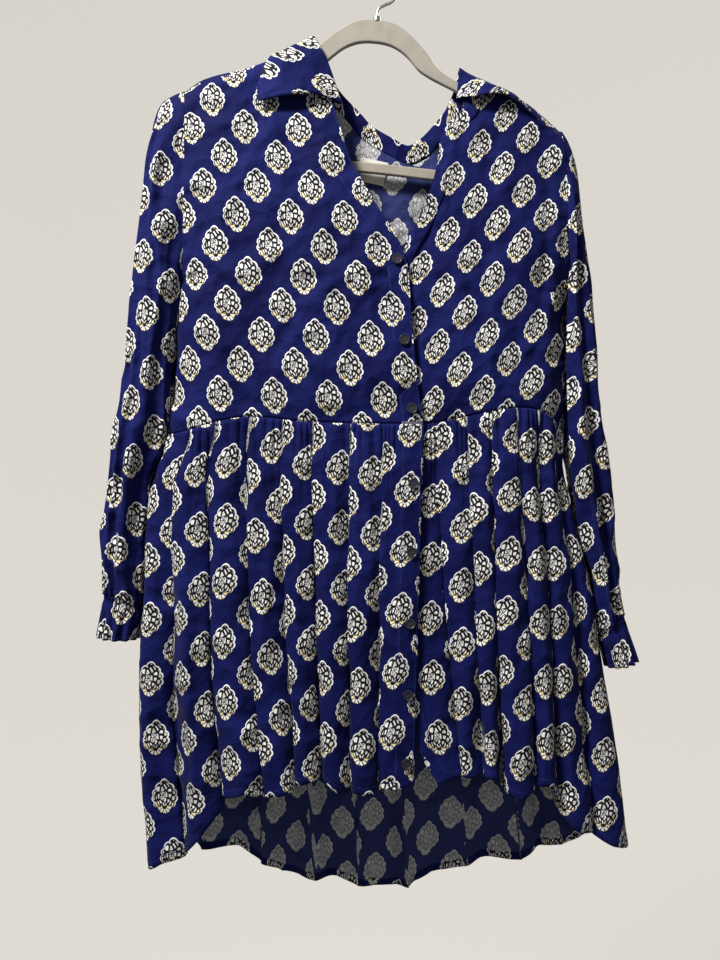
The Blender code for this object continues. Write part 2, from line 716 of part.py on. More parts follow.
hanger_body()
hanger_hook()
for is_left, word in ((False, "right"), (True, "left")):
    front, skirt = bodice_front(is_left), skirt_front(is_left)
    folds = len(LEFT_FOLDS if is_left else RIGHT_FOLDS) - 1
    wall(f"bodice_front_{word}", front, FRONT_COLUMNS, FRONT_ROWS[-1][0], cotton, faces=-1)
    wall(f"skirt_front_{word}", skirt, FOLD_STEPS * folds, SKIRT_ROWS, cotton, faces=-1)
    wall(f"placket_{word}", band(is_left), 4, BAND_ROWS, cotton, thick=BAND, faces=-1)
    wall(f"sleeve_{word}", sleeve(is_left), 20, 13, cotton)
    wall(f"cuff_{word}", cuff(is_left), 4 * CUFF_WAVES, 2, cotton)
wall("bodice_back", bodice_back(), BACK_COLUMNS, BACK_ROWS[-1][0], cotton, faces=1)
wall("skirt_back", skirt_back(), 2 * FOLD_STEPS * BACK_FOLDS, SKIRT_ROWS, cotton, faces=1)
wall("collar", collar(), COLLAR_COLUMNS, 8, cotton, faces=1)
buttons(black)
label(material("woven label", LABEL_WHITE, 0.7))
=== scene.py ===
import math
from functools import partial

import bmesh
import bpy
import numpy as np
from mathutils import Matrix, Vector, kdtree, noise


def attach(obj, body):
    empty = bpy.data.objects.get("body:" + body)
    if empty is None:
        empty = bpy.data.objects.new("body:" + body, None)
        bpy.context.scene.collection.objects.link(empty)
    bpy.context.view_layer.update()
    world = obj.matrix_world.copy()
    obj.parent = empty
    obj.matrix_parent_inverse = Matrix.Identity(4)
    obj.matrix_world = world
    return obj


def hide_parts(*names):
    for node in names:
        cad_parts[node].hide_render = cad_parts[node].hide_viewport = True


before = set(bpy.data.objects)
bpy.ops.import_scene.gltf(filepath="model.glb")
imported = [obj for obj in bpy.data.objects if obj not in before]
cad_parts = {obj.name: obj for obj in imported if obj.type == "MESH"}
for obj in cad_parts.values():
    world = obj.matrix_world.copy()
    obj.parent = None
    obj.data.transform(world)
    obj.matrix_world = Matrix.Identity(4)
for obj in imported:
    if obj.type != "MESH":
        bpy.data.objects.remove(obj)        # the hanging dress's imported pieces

# A babydoll dress on a slim hanger. Shapes are worked out in millimetres:
# x to the viewer's right, y to the back, and drop downwards from the hook.
mm = 0.001
noise.seed_set(1)     # without it noise_vector differs from run to run
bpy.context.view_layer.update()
print("frame loaded")


# Tables and small helpers

def readTable(rows, place, column=1):
    last = len(rows) - 2
    i = 0
    while i < last and rows[i + 1][0] < place:
        i += 1

    def slope(k):
        return (rows[k + 1][column] - rows[k][column]) / (rows[k + 1][0] - rows[k][0])

    def tangent(k):
        if k <= 0 or k >= len(rows) - 1:
            return slope(min(max(k, 0), last))
        before, after = slope(k - 1), slope(k)
        return 0.0 if before * after <= 0 else 2 * before * after / (before + after)

    span = rows[i + 1][0] - rows[i][0]
    t = min(max((place - rows[i][0]) / span, 0.0), 1.0)
    rise = rows[i + 1][column] - rows[i][column]
    bend = t * (1 - t) * span
    ease = t * t * (3 - 2 * t)
    return rows[i][column] + rise * ease + bend * ((1 - t) * tangent(i) - t * tangent(i + 1))


def mix(a, b, t):
    return a + (b - a) * t


def smooth(low, high, value):
    t = min(1.0, max(0.0, (value - low) / (high - low)))
    return t * t * (3 - 2 * t)


def fromSeam(share):
    return (1 - math.cos(share * math.pi / 2)) ** 1.25


def betweenEdges(share):
    return (0.5 - 0.5 * math.cos(share * math.pi)) ** 1.1


def numbered(rows):
    return [(number,) + row for number, row in enumerate(rows)]


bothSides = ((False, "right"), (True, "left"))     # the wearer's


def wordOf(left):
    return "left" if left else "right"


def rounding(share):
    return math.sqrt(max(0.0, 1 - (1 - min(1.0, max(0.0, share))) ** 2))


# The body that the cloth hangs in: outlines, waist and depth

body = {
    "shoulder": (      # x, drop of the ridge
        (-230, 146), (-204, 129), (-162, 118), (-119, 104), (-100, 97.5), (-87, 93.5),
        (-77, 90), (85, 123.5), (99, 131), (158, 152), (189, 175), (208, 192)),
    "rightSide": (     # drop, x
        (141, -225), (237, -223), (291, -224), (361, -227), (416, -234), (474, -239),
        (538, -243), (612, -266), (727, -271), (842, -277), (1028, -265)),
    "leftSide": (
        (187, 205), (231, 208), (336, 210), (434, 209), (480, 205), (536, 205),
        (635, 218), (715, 239), (801, 252), (888, 265), (1002, 281)),
    "rightEdge": (     # the free edge of the wearer's right front: drop, x
        (97, -98), (130, -64), (150, -57), (174, -51), (194, -45), (218, -38),
        (274, -9), (320, 18), (350, 28), (423, 33), (500, 41), (530, 45)),
    "leftEdge": (
        (132, 108), (150, 96), (166, 89), (186, 68), (235, 60), (293, 40),
        (346, 15), (422, 10), (495, 17), (530, 21)),
    "waist": (         # x, drop
        (-243, 538), (-222, 535), (-200, 529), (-178, 523), (-150, 519), (-120, 520.5),
        (-85, 525), (45, 527), (88, 520), (125, 512), (155, 509), (176, 512), (194, 522),
        (205, 536)),
    "depth": (         # drop, front, back
        (90, 11, 8), (160, 14, 10), (220, 20, 12), (290, 26, 13), (346, 30, 14),
        (420, 34, 15), (540, 36, 16)),
    "armholeDepth": (19, 15),
    "rightArmhole": (143, 366),
    "leftArmhole": (189, 384),
    "ridgeRound": 24.0,
    "sideRound": 60.0,
    "flatEdge": 6.0,
    "sideGap": 0.12,
    "shoulderSeam": 6.0,
    "leftUnder": 5.0,
    "underStart": 225.0,
    "underEnd": 315.0,
    "underWidth": 58.0,
    "underSlope": 45.0,
    "tubeRound": 0.85,
    "collarFade": (4, 30, 0.06),     # relief starts this far below the collar, over this much
    "underCollarFront": (      # x, how far below the ridge the collar reaches
        (-165, 0), (-139, 53), (-45, 72), (-30, 0), (70, 0), (84, 36), (177, 22), (195, 0)),
    "underCollarBack": (
        (-125, 0), (-115, 28), (-96, 72), (-62, 110), (-36, 132), (2, 146), (30, 151),
        (58, 140), (88, 115), (112, 80), (128, 34), (140, 0)),
}


def shoulderDrop(x):
    return readTable(body["shoulder"], x)


def waistDrop(x):
    return readTable(body["waist"], x)


def sideLine(drop, left):
    return readTable(body[wordOf(left) + "Side"], drop)


def armholeOut(drop, left, back):
    top, bottom = body[wordOf(left) + "Armhole"]
    share = (drop - top) / (bottom - top)
    if not 0 < share < 1:
        return 0.0
    return body["armholeDepth"][back] * (2 * math.sqrt(share * (1 - share))) ** body["tubeRound"]


def bodyDepth(x, drop, back):
    middle = 0.5 * (sideLine(drop, False) + sideLine(drop, True))
    left = x > middle
    edge = armholeOut(drop, left, back)
    inward = abs(x - sideLine(drop, left)) / body["sideRound"]
    sloping = math.sin(min(1.0, inward) * math.pi / 2)
    inward = mix(rounding(inward), sloping, min(1.0, edge / body["flatEdge"]))
    full = readTable(body["depth"], drop, 2 if back else 1)
    return mix(edge, rounding((drop - shoulderDrop(x)) / body["ridgeRound"]) * full, inward)


def onBody(x, reach, lift=0.0):
    back = reach > 0
    turn = math.acos(1 - min(1.0, abs(reach) / body["ridgeRound"]))
    drop = shoulderDrop(x) + abs(reach)
    out = bodyDepth(x, drop, back) + lift * math.sin(turn)
    return Vector((x, out if back else -out, -drop + lift * math.cos(turn)))


def underRight(x, drop):
    edge = readTable(body["rightEdge"], drop)
    reach = min(1.0, max(0.0, (edge + body["underWidth"] - x) / body["underSlope"]))
    below = (drop - body["underStart"]) / (body["underEnd"] - body["underStart"])
    return body["leftUnder"] * reach * math.sin(min(1.0, max(0.0, below)) * math.pi / 2)


# Creases: soft troughs and ridges drawn one by one, and the cloth's own crumple

cloth = {
    "thick": 1.0, "noSeam": 90.0, "margin": 14.0,     # mm: wall, no stitches near, seams kept flat
    "creaseEnds": 0.7, "creaseRound": 2.2,
    "crumple": 0.02, "wander": (0.9, 0.55), "level": 0.42, "ridgeTop": 0.3,
    "big": (1.1, 0.75, 1.3), "small": (2.9, 2.3, 0.8),     # how many across and down, how high
    "ridge": (0.8, 1.3, 2.2), "soft": (0.55, 1.1),
}


# Near 0 under the collar and at the shoulder, 1 from a little below them
def clearOfCollar(x, drop, back):
    places, reaches = zip(*body["underCollarBack" if back else "underCollarFront"])
    ridgeX, ridgeDrop = zip(*body["shoulder"])
    start, run, least = body["collarFade"]
    below = drop - np.interp(x, ridgeX, ridgeDrop) - np.interp(x, places, reaches)
    return np.clip((below - start) / run, least, 1)


# x and drop are arrays; a line is x, drop, x, drop, width, height, bow
def creaseField(x, drop, lines):
    total = np.zeros_like(x)
    for x0, drop0, x1, drop1, width, height, bow in lines:
        run, fall = x1 - x0, drop1 - drop0
        length = math.hypot(run, fall)
        along = ((x - x0) * run + (drop - drop0) * fall) / length ** 2
        aside = ((x - x0) * fall - (drop - drop0) * run) / length
        inside = np.clip(along, 0, 1)
        aside = aside + bow * 4 * inside * (1 - inside)
        taper = np.sin(inside * np.pi) ** cloth["creaseEnds"] * (along > 0) * (along < 1)
        total += height * taper * np.exp(
            1 - np.sqrt(1 + (aside / width) ** 2 * cloth["creaseRound"]))
    return total


def crumple(x, drop, seed):
    c = cloth
    p = Vector((x * c["crumple"], drop * c["crumple"], seed))
    p += noise.noise_vector(p * c["wander"][0]) * c["wander"][1]

    def cells(name, shift):
        across, down, high = c[name]
        spot = Vector((p.x * across, p.y * down, seed + shift))
        return high * (noise.voronoi(spot)[0][0] - c["level"])

    share, high = c["soft"]
    soft = high * noise.noise(p * share + Vector((9, 3, seed)))
    across, down, high = c["ridge"]
    ridge = c["ridgeTop"] - abs(noise.noise(Vector((p.x * across, p.y * down, seed + 2))))
    return cells("big", 0) + cells("small", 5) + soft + high * ridge


def overGrid(work, *grids):
    return np.array([[work(*spot) for spot in zip(*rows)] for rows in zip(*grids)])


# Cloth sheets: a grid, its points moved to the garment, then its thickness

sheets, printed = {}, {}     # the pieces, and their points with the print's places


# Length along an axis of the point array, measured with the kept coordinates
def runLength(points, axis, keep):
    steps = np.diff(points[..., keep], axis=axis)
    lengths = np.sqrt((steps ** 2).sum(-1))
    total = np.cumsum(lengths, axis=axis)
    pad = [(0, 0), (0, 0)]
    pad[axis] = (1, 0)
    return np.pad(total, pad)


# Lengths round and down a piece, from its first column and row
def lengths(points):
    return runLength(points, 1, [0, 1, 2]), runLength(points, 0, [0, 1, 2])


def deselectAll():
    bpy.ops.object.select_all(action="DESELECT")


def selectOnly(piece):
    deselectAll()
    piece.select_set(True)
    bpy.context.view_layer.objects.active = piece


def applied(piece, name, kind, **settings):
    change = piece.modifiers.new(name, kind)
    for key, value in settings.items():
        setattr(change, key, value)
    selectOnly(piece)
    bpy.ops.object.modifier_apply(modifier=change.name)


def mergeDoubles(piece, apart, faceIn=False):
    selectOnly(piece)
    bpy.ops.object.mode_set(mode="EDIT")
    bpy.ops.mesh.select_all(action="SELECT")
    bpy.ops.mesh.remove_doubles(threshold=apart)
    if faceIn:
        bpy.ops.mesh.normals_make_consistent(inside=True)
    bpy.ops.object.mode_set(mode="OBJECT")


def notSewn(points, us, vs):
    empty = np.zeros(points.shape[:2])
    return np.stack((empty, empty + cloth["noSeam"]), -1)


# place gives a point for each u and v; facing is the side that its middle looks to in y,
# or 0 for a tube, whose ends are joined
def addSheet(name, place, grid, printAt, relief, facing=-1, sewnAt=notSewn):
    deselectAll()
    bpy.ops.mesh.primitive_grid_add(x_subdivisions=grid[0], y_subdivisions=grid[1], size=1)
    piece = bpy.context.object
    mesh = piece.data
    piece.name = mesh.name = name
    spots = np.empty(len(mesh.vertices) * 3)
    mesh.vertices.foreach_get("co", spots)
    spots = spots.reshape(-1, 3)
    us, columnOf = np.unique(np.round(spots[:, 0] + 0.5, 6), return_inverse=True)
    vs, rowOf = np.unique(np.round(spots[:, 1] + 0.5, 6), return_inverse=True)
    points = np.array([[tuple(place(float(u), float(v))) for u in us] for v in vs])

    normals = np.cross(np.gradient(points, axis=1), np.gradient(points, axis=0))
    normals /= np.maximum(np.linalg.norm(normals, axis=-1, keepdims=True), 1e-9)
    if facing:
        turn = np.sign(normals[len(vs) // 2, len(us) // 2, 1]) * facing
    else:
        front = np.unravel_index(points[..., 1].argmin(), points.shape[:2])
        turn = -np.sign(normals[front][1])
    normals = normals * turn
    prints = printAt(points, us, vs)
    maps = {"flat": prints, "sewn": sewnAt(points, us, vs)}
    printed[name] = points, prints
    if relief is not None:
        points = points + normals * relief(points, us, vs)[..., None]
    mesh.vertices.foreach_set("co", (points[rowOf, columnOf] * mm).ravel())

    corners = np.empty(len(mesh.loops), dtype=int)
    mesh.loops.foreach_get("vertex_index", corners)
    while mesh.uv_layers:
        mesh.uv_layers.remove(mesh.uv_layers[0])
    for word, values in maps.items():
        mesh.uv_layers.new(name=word)
        spread = values[rowOf, columnOf][corners] * mm
        mesh.uv_layers[word].data.foreach_set("uv", spread.ravel())
    mesh.update()
    first = mesh.polygons[len(mesh.polygons) // 2]
    wanted = normals[rowOf[first.vertices[0]], columnOf[first.vertices[0]]]
    if first.normal.dot(Vector(wanted)) < 0:
        mesh.flip_normals()
    if facing == 0:
        mergeDoubles(piece, 0.01 * mm)
    for look in (cottonRight, cottonWrong):
        mesh.materials.append(look)
    mesh.shade_smooth()
    applied(piece, "thickness", "SOLIDIFY", thickness=cloth["thick"] * mm, offset=-1,
            material_offset=1, use_even_offset=False)
    sheets[name] = piece
    print("sheet", name, len(mesh.polygons))


# 0 at the sewn edges and 1 inside: sides and ends give the size in mm, or None if free
def edgeFade(us, vs, sides, ends, edgeMargin):
    fade = np.ones((len(vs), len(us)))
    margin = cloth["margin"]
    for size, shares, rim in (
        (sides[0], us[None, :], margin), (sides[1], 1 - us[None, :], edgeMargin),
        (ends[0], vs[:, None], margin), (ends[1], 1 - vs[:, None], margin),
    ):
        if size is not None:
            near = np.clip(shares * size / rim, 0, 1)
            fade *= near * near * (3 - 2 * near)
    return fade


def clothRelief(seed, lines, sides, ends, strength, more, edgeMargin=cloth["margin"],
                collarBack=None):
    def relief(points, us, vs):
        x, drop = points[..., 0], -points[..., 2]
        worn = overGrid(lambda a, b: crumple(a, b, seed), x, drop)
        total = worn * strength + creaseField(x, drop, lines)
        total *= edgeFade(us, vs, sides, ends, edgeMargin)
        if collarBack is not None:
            total *= clearOfCollar(x, drop, collarBack)
        return total + more(points, us, vs)
    return relief


# Finishes

def feed(tree, socket, value):
    if isinstance(value, (int, float, tuple)):
        socket.default_value = value
    else:
        tree.links.new(value, socket)


def addNode(tree, kind, inputs, **settings):
    node = tree.nodes.new("ShaderNode" + kind)
    for key, value in settings.items():
        setattr(node, key, value)
    for name, value in inputs.items():
        feed(tree, node.inputs[name], value)
    return node


def calc(tree, operation, *values, clamp=False):
    return addNode(tree, "Math", dict(enumerate(values)), operation=operation,
                   use_clamp=clamp).outputs[0]


# 0 below low, 1 above high, or the other way round where low is the higher one
def ramp(tree, value, low, high):
    return addNode(tree, "MapRange", {"Value": value, "From Min": low, "From Max": high},
                   interpolation_type="SMOOTHSTEP").outputs["Result"]


def mixColour(tree, share, a, b, blend="MIX"):
    return addNode(tree, "Mix", {0: share, 6: a, 7: b}, data_type="RGBA",
                   blend_type=blend).outputs[2]


def noiseAt(tree, vector, scale, detail=2.0, roughness=0.5):
    return addNode(tree, "TexNoise", {
        "Scale": scale, "Detail": detail, "Roughness": roughness, "Vector": vector,
    }).outputs["Fac"]


def joinVector(tree, x, y, z=0.0):
    return addNode(tree, "CombineXYZ", {0: x, 1: y, 2: z}).outputs[0]


def objectSpace(tree):
    return addNode(tree, "TexCoord", {}).outputs["Object"]


# A UV map, and its two numbers in millimetres
def mapAt(tree, name):
    spot = addNode(tree, "UVMap", {}, uv_map=name).outputs[0]
    split = addNode(tree, "SeparateXYZ", {0: spot}).outputs
    return spot, calc(tree, "MULTIPLY", split[0], 1000), calc(tree, "MULTIPLY", split[1], 1000)


def newFinish(name, inputs):
    look = bpy.data.materials.new(name)
    look.use_nodes = True
    shader = look.node_tree.nodes["Principled BSDF"]
    for word, value in inputs.items():
        shader.inputs[word].default_value = value
    return look, look.node_tree, shader


def addBump(tree, shader, height, strength, distance, before=None):
    inputs = {"Strength": strength, "Distance": distance, "Height": height}
    if before is not None:
        inputs["Normal"] = before
    normal = addNode(tree, "Bump", inputs).outputs["Normal"]
    tree.links.new(normal, shader.inputs["Normal"])
    return normal


cotton = {
    "ground": (0.0055, 0.0085, 0.078, 1), "groundDeep": (0.0030, 0.0045, 0.050, 1),
    "white": (0.84, 0.83, 0.79, 1), "grey": (0.58, 0.58, 0.56, 1), "greyShare": 0.45,
    "yellow": (0.82, 0.68, 0.33, 1), "yellowShare": 0.85, "black": (0.010, 0.009, 0.014, 1),
    "wrongGround": (0.026, 0.034, 0.125, 1), "wrongWhite": (0.55, 0.54, 0.52, 1),
    "wrongBlack": (0.25, 0.25, 0.27, 1), "thread": (0.020, 0.024, 0.15, 1),
    "clouds": 9.0, "cloudEdge": (0.3, 0.7),
    "across": 60.0,      # mm between flowers in a row
    "rowStep": 32.8,     # mm between rows, each moved half a step
    "sheen": 0.03, "sheenRough": 0.4, "gloss": 0.08, "rough": 0.80, "roughSpread": 0.12,
    "turned": (1.5, 1.1),     # mm from the hem's stitches where the right side shows
    "stitch": 2.6, "dash": (0.40, 0.34), "threadEdge": (0.42, 0.26), "groove": (1.3, 0.2),
    "slubs": (2600, 260), "slubInk": (0.26, 0.74),     # to a metre across and along a thread
    "crinkle": (85.0, 0.8), "facets": ((62.0, 0.9), (27.0, 2.2)),     # to a metre, how high
    "creaseBump": (0.75, 0.0028), "seamBump": (0.5, 0.0005), "threadBump": (0.22, 0.0002),
    "threadHigh": 1.6,
}
flower = {     # mm, shares of the half height from the foot at -1 to the tip at 1, and edges
    "halfWide": 10.9, "halfTall": 17.3, "lean": 0.14, "narrowTip": 0.26, "narrowFoot": 0.36,
    "scallops": 5.5, "scallopTurn": 1.45, "scallopRound": 0.55, "scallop": 2.5,
    "outline": (0.35, 1.40), "outlineTurn": 0.6, "outlineStart": (-0.70, -0.36),
    "outer": (0.22, -0.22), "inner": (0.2, -0.2), "filled": (-0.75, -1.15),
    "foot": 0.62, "fan": (0.55, 4.2), "leafLong": 0.56, "leafSize": 3.35, "loose": 0.9,
    "leafEdge": (0.19, 0.28), "veinEdge": (0.40, 0.46), "veined": (0.66, 0.7), "vein": 0.7,
    "dotSize": 2.5, "dotShift": 40.0, "dotEdge": (0.10, 0.20),
    "dottedAt": (-1.5, 2.0), "dottedWide": (3.2, 2.6), "dottedTall": (4.4, 3.6),
    "petals": 4.5, "petalEdge": (0.34, 0.55), "petalStart": (2.2, 3.0), "petalEnd": (-0.52, -0.60),
    "yellowTop": (-0.06, -0.22), "yellowLeaves": (0.30, 0.36), "yellowSides": (1.6, 3.2),
}


# Small leaves with dark lines between them: the line's distance and two numbers a leaf
def cellsAt(tree, x, y, size, shift=0.0):
    spot = joinVector(tree, x, calc(tree, "ADD", y, shift))
    inputs = {"Scale": 1 / size, "Randomness": flower["loose"], "Vector": spot}
    edges, leaves = (
        addNode(tree, "TexVoronoi", inputs, feature=kind, voronoi_dimensions="2D").outputs
        for kind in ("DISTANCE_TO_EDGE", "F1"))
    part = addNode(tree, "SeparateColor", {0: leaves["Color"]}).outputs
    return edges["Distance"], part[0], part[1]


def printedCotton(name, wrong=False):
    c, f = cotton, flower
    look, tree, shader = newFinish(name, {
        "Roughness": c["rough"], "Sheen Weight": c["sheen"], "Sheen Roughness": c["sheenRough"],
        "Specular IOR Level": c["gloss"]})
    op, edge, blend = (partial(work, tree) for work in (calc, ramp, mixColour))

    def both(a, b):
        return op("MULTIPLY", a, b)

    def towards(a, b, share):
        return op("MULTIPLY_ADD", op("SUBTRACT", b, a), share, a)

    def away(a, b):
        return op("SQRT", op("MULTIPLY_ADD", a, a, both(b, b)))

    def nearest(value, step):
        turn = op("FLOOR", op("MULTIPLY_ADD", value, 1 / step, 0.5))
        return op("SUBTRACT", value, both(turn, step))

    flat, across, up = mapAt(tree, "flat")

    def flowerAt(shiftX, shiftY):
        x = nearest(op("SUBTRACT", across, shiftX), c["across"])
        y = nearest(op("SUBTRACT", up, shiftY), 2 * c["rowStep"])
        far = op("ADD", op("POWER", op("DIVIDE", x, f["halfWide"]), 2),
                 op("POWER", op("DIVIDE", y, f["halfTall"]), 2))
        return x, y, far

    x0, y0, far0 = flowerAt(0, 0)
    x1, y1, far1 = flowerAt(c["across"] / 2, c["rowStep"])
    second = op("LESS_THAN", far1, far0)
    y = towards(y0, y1, second)
    x = op("MULTIPLY_ADD", y, -f["lean"], towards(x0, x1, second))

    # The flower's outline: an oval that narrows to its tip and foot, with scallops
    tall = op("DIVIDE", y, f["halfTall"])
    upper, lower = op("MAXIMUM", tall, 0.0), op("MAXIMUM", both(tall, -1.0), 0.0)
    narrow = op("ADD", both(op("POWER", upper, 2), -f["narrowTip"]),
                op("MULTIPLY_ADD", op("POWER", lower, 2), -f["narrowFoot"], 1.0))
    oval = away(op("DIVIDE", x, both(narrow, f["halfWide"])), tall)
    radius = away(x, y)
    reach = op("SUBTRACT", radius, op("DIVIDE", radius, op("MAXIMUM", oval, 0.01)))
    turn = op("ARCTAN2", x, y)
    waves = op("SINE", op("MULTIPLY_ADD", turn, f["scallops"], f["scallopTurn"]))
    scallop = op("POWER", op("ABSOLUTE", waves), f["scallopRound"])
    dist = op("SUBTRACT", reach, both(scallop, f["scallop"]))

    # The cream outline, thick at the top right and gone at the foot
    rightSide = op("SINE", op("ADD", turn, f["outlineTurn"]))
    band = both(op("MULTIPLY_ADD", rightSide, *f["outline"]), edge(tall, *f["outlineStart"]))
    outer = edge(op("SUBTRACT", dist, band), *f["outer"])
    inner = edge(dist, *f["inner"])
    outline = op("SUBTRACT", outer, inner, clamp=True)
    filled = edge(dist, *f["filled"])

    # Leaves that fan out from the foot, dots in the middle, and petals at the foot
    footY = op("ADD", y, f["halfTall"] * f["foot"])
    footTurn, footReach = op("ARCTAN2", x, footY), away(x, footY)
    fanX = both(footTurn, op("MULTIPLY_ADD", footReach, *f["fan"]))
    line, tone, kind = cellsAt(tree, fanX, both(footReach, f["leafLong"]), f["leafSize"])
    dots, _, _ = cellsAt(tree, x, y, f["dotSize"], f["dotShift"])
    vein = both(edge(line, *f["veinEdge"]), edge(tone, *f["veined"]))
    ink = op("SUBTRACT", edge(line, *f["leafEdge"]), both(vein, f["vein"]), clamp=True)
    dotted = both(*(
        edge(op("ABSOLUTE", op("SUBTRACT", place, middle)), *f[size])
        for place, middle, size in zip((x, y), f["dottedAt"], ("dottedWide", "dottedTall"))))
    ink = towards(ink, edge(dots, *f["dotEdge"]), dotted)
    petals = op("ABSOLUTE", op("SINE", both(footTurn, f["petals"])))
    petals = both(edge(petals, *f["petalEdge"]), edge(footReach, *f["petalStart"]))
    ink = towards(ink, petals, edge(tall, *f["petalEnd"]))
    yellow = both(both(edge(tall, *f["yellowTop"]), edge(kind, *f["yellowLeaves"])),
                  edge(op("ABSOLUTE", x), *f["yellowSides"]))

    # Colours, paler on the wrong side up to the hem's stitches
    _, along, aside = mapAt(tree, "sewn")
    space = objectSpace(tree)
    cloudy = edge(noiseAt(tree, space, c["clouds"], 3.0), *c["cloudEdge"])
    ground = blend(cloudy, c["ground"], c["groundDeep"])
    white, black = c["white"], c["black"]
    bright = blend(both(tone, c["greyShare"]), white, c["grey"])
    bright = blend(both(yellow, c["yellowShare"]), bright, c["yellow"])
    if wrong:
        turned = edge(aside, *c["turned"])
        ground, white, black, bright = (
            blend(turned, c[pale], full) for pale, full in (
                ("wrongGround", ground), ("wrongWhite", white), ("wrongBlack", black),
                ("wrongWhite", bright)))
    colour = blend(inner, ground, black)
    colour = blend(filled, colour, blend(ink, black, bright))
    colour = blend(outline, colour, white)

    # Sewing: dashes of thread in a fine groove
    dash, aside = op("ABSOLUTE", nearest(along, c["stitch"])), op("ABSOLUTE", aside)
    thread = both(edge(aside, *c["threadEdge"]),
                  edge(dash, *(c["stitch"] * share for share in c["dash"])))
    colour = blend(thread, colour, c["thread"])
    groove = both(edge(aside, *c["groove"]), -1.0)

    # Threads: fine slubs along and across, and worn ink
    fine, long = c["slubs"]
    threads = op("ADD", *(
        noiseAt(tree, addNode(tree, "Mapping", {"Scale": scale, "Vector": flat}).outputs[0],
                1.0, 1.0)
        for scale in ((fine, long, 1), (long, fine, 1))))
    worn = op("MULTIPLY_ADD", threads, *c["slubInk"])
    colour = blend(1.0, colour, joinVector(tree, worn, worn, worn), "MULTIPLY")
    rough = op("MULTIPLY_ADD", threads, c["roughSpread"], c["rough"] - c["roughSpread"])
    for word, value in (("Base Color", colour), ("Roughness", rough)):
        tree.links.new(value, shader.inputs[word])
    grains, height = c["crinkle"]
    crinkle = both(noiseAt(tree, space, grains, 3.0, 0.6), height)
    for scale, height in c["facets"]:
        facets = addNode(tree, "TexVoronoi", {"Scale": scale, "Vector": space})
        crinkle = op("MULTIPLY_ADD", facets.outputs["Distance"], height, crinkle)
    creased = addBump(tree, shader, crinkle, *c["creaseBump"])
    raised = op("ADD", groove, both(thread, c["threadHigh"]))
    seamed = addBump(tree, shader, raised, *c["seamBump"], creased)
    addBump(tree, shader, threads, *c["threadBump"], seamed)
    return look


cottonRight = printedCotton("printed cotton")
cottonWrong = printedCotton("printed cotton wrong side", wrong=True)
print("cloth finishes made")


# Bodice: two fronts and a back

bodice = {
    "rightGrid": (96, 144), "leftGrid": (76, 136), "backGrid": (176, 150),
    "rightSize": (265, 415), "leftSize": (185, 370), "rightAnchor": -110, "leftAnchor": 120,
    "frontRows": ((0, 0), (1, 0.01), (2, 0.026), (3, 0.05), (4, 0.1), (13, 1)),
    "backRows": (
        (0, 0), (1, 0.008), (2, 0.016), (3, 0.024), (4, 0.038), (5, 0.06), (6, 0.1), (14, 1)),
    "underArm": (25, 0.8, 0.4),     # a fold at the armhole's end: how long, how low, how deep
    "sideColumns": 8, "columns": 40, "neckStep": 2.5,
    "frontCrumple": 3.1, "backCrumple": 3.0, "edgeMargin": 34.0,
    "pucker": 0.35, "puckerPitch": 6.5, "puckerFade": 5, "puckerSway": 1.7,
    # the print's turn and stretch, then its shift in mm
    "rightPrint": ((1.0, 0.2135), (0.037, 0.974), (16.0, -2.8)),
    "leftPrint": ((1.113, -0.1055), (-0.221, 1.057), (6.0, 22.0)),
    "backPrint": ((1.0, 0.02), (-0.02, 1.0), (20.0, 10.0)),
    "rightCreases": (      # x, drop, x, drop, width, height, bow
        (-214, 240, -196, 470, 7, 3.0, 6), (-205, 330, -150, 480, 6, -2.2, -10),
        (-190, 300, -96, 420, 5, 1.8, 8), (-160, 230, -60, 330, 4, -1.6, -9),
        (-40, 300, -150, 370, 4, 1.9, 10), (-8, 330, -110, 345, 3.5, -2.2, -4),
        (0, 345, -90, 400, 4, 2.0, 7), (10, 360, -60, 470, 4, -2.0, 8),
        (24, 420, -30, 505, 4, 2.0, -5), (-90, 240, -10, 315, 3.2, 1.7, 5),
        (-120, 150, -80, 260, 4, -1.5, 8), (-170, 160, -150, 260, 5, 1.6, -7),
        (-60, 210, -24, 290, 3, -1.6, 3), (-130, 410, -118, 512, 5, 2.0, 4),
        (-70, 400, -58, 512, 5, -2.0, -4), (-176, 430, -168, 512, 4, 1.7, 3),
        (-20, 440, -14, 514, 4, 1.6, 2), (-200, 180, -110, 200, 4, 1.2, 9),
    ),
    "leftCreases": (
        (196, 250, 176, 480, 6, 3.4, -6), (186, 230, 158, 490, 6, -3.0, -8),
        (150, 200, 130, 400, 6, 2.0, 8), (66, 300, 160, 380, 4, 1.9, 9),
        (50, 330, 150, 350, 4, -1.8, -6), (60, 380, 140, 470, 4, 1.9, 6),
        (46, 430, 100, 500, 4, -1.7, 4), (100, 210, 70, 330, 4, -1.6, 6),
        (120, 400, 126, 500, 4, 1.9, 4), (80, 440, 84, 508, 4, 1.5, -3),
        (170, 190, 120, 260, 5, 1.6, -7), (84, 190, 62, 262, 3.5, 1.8, -3),
        (150, 420, 160, 500, 4, -1.8, 3),
    ),
    "backCreases": (
        (-120, 240, -150, 500, 9, 2.6, 10), (60, 260, 110, 500, 9, 2.4, -12),
        (-60, 330, 40, 420, 6, -1.8, 14), (-190, 280, -60, 420, 6, 1.9, 10),
        (180, 300, 60, 440, 6, 1.9, -12), (0, 230, -20, 480, 8, -1.8, 8),
        (-100, 420, -92, 510, 6, 1.8, 3), (20, 420, 24, 512, 6, 1.8, -4),
        (130, 420, 136, 500, 5, -1.6, 3), (-160, 430, -156, 512, 5, -1.6, 3),
    ),
}


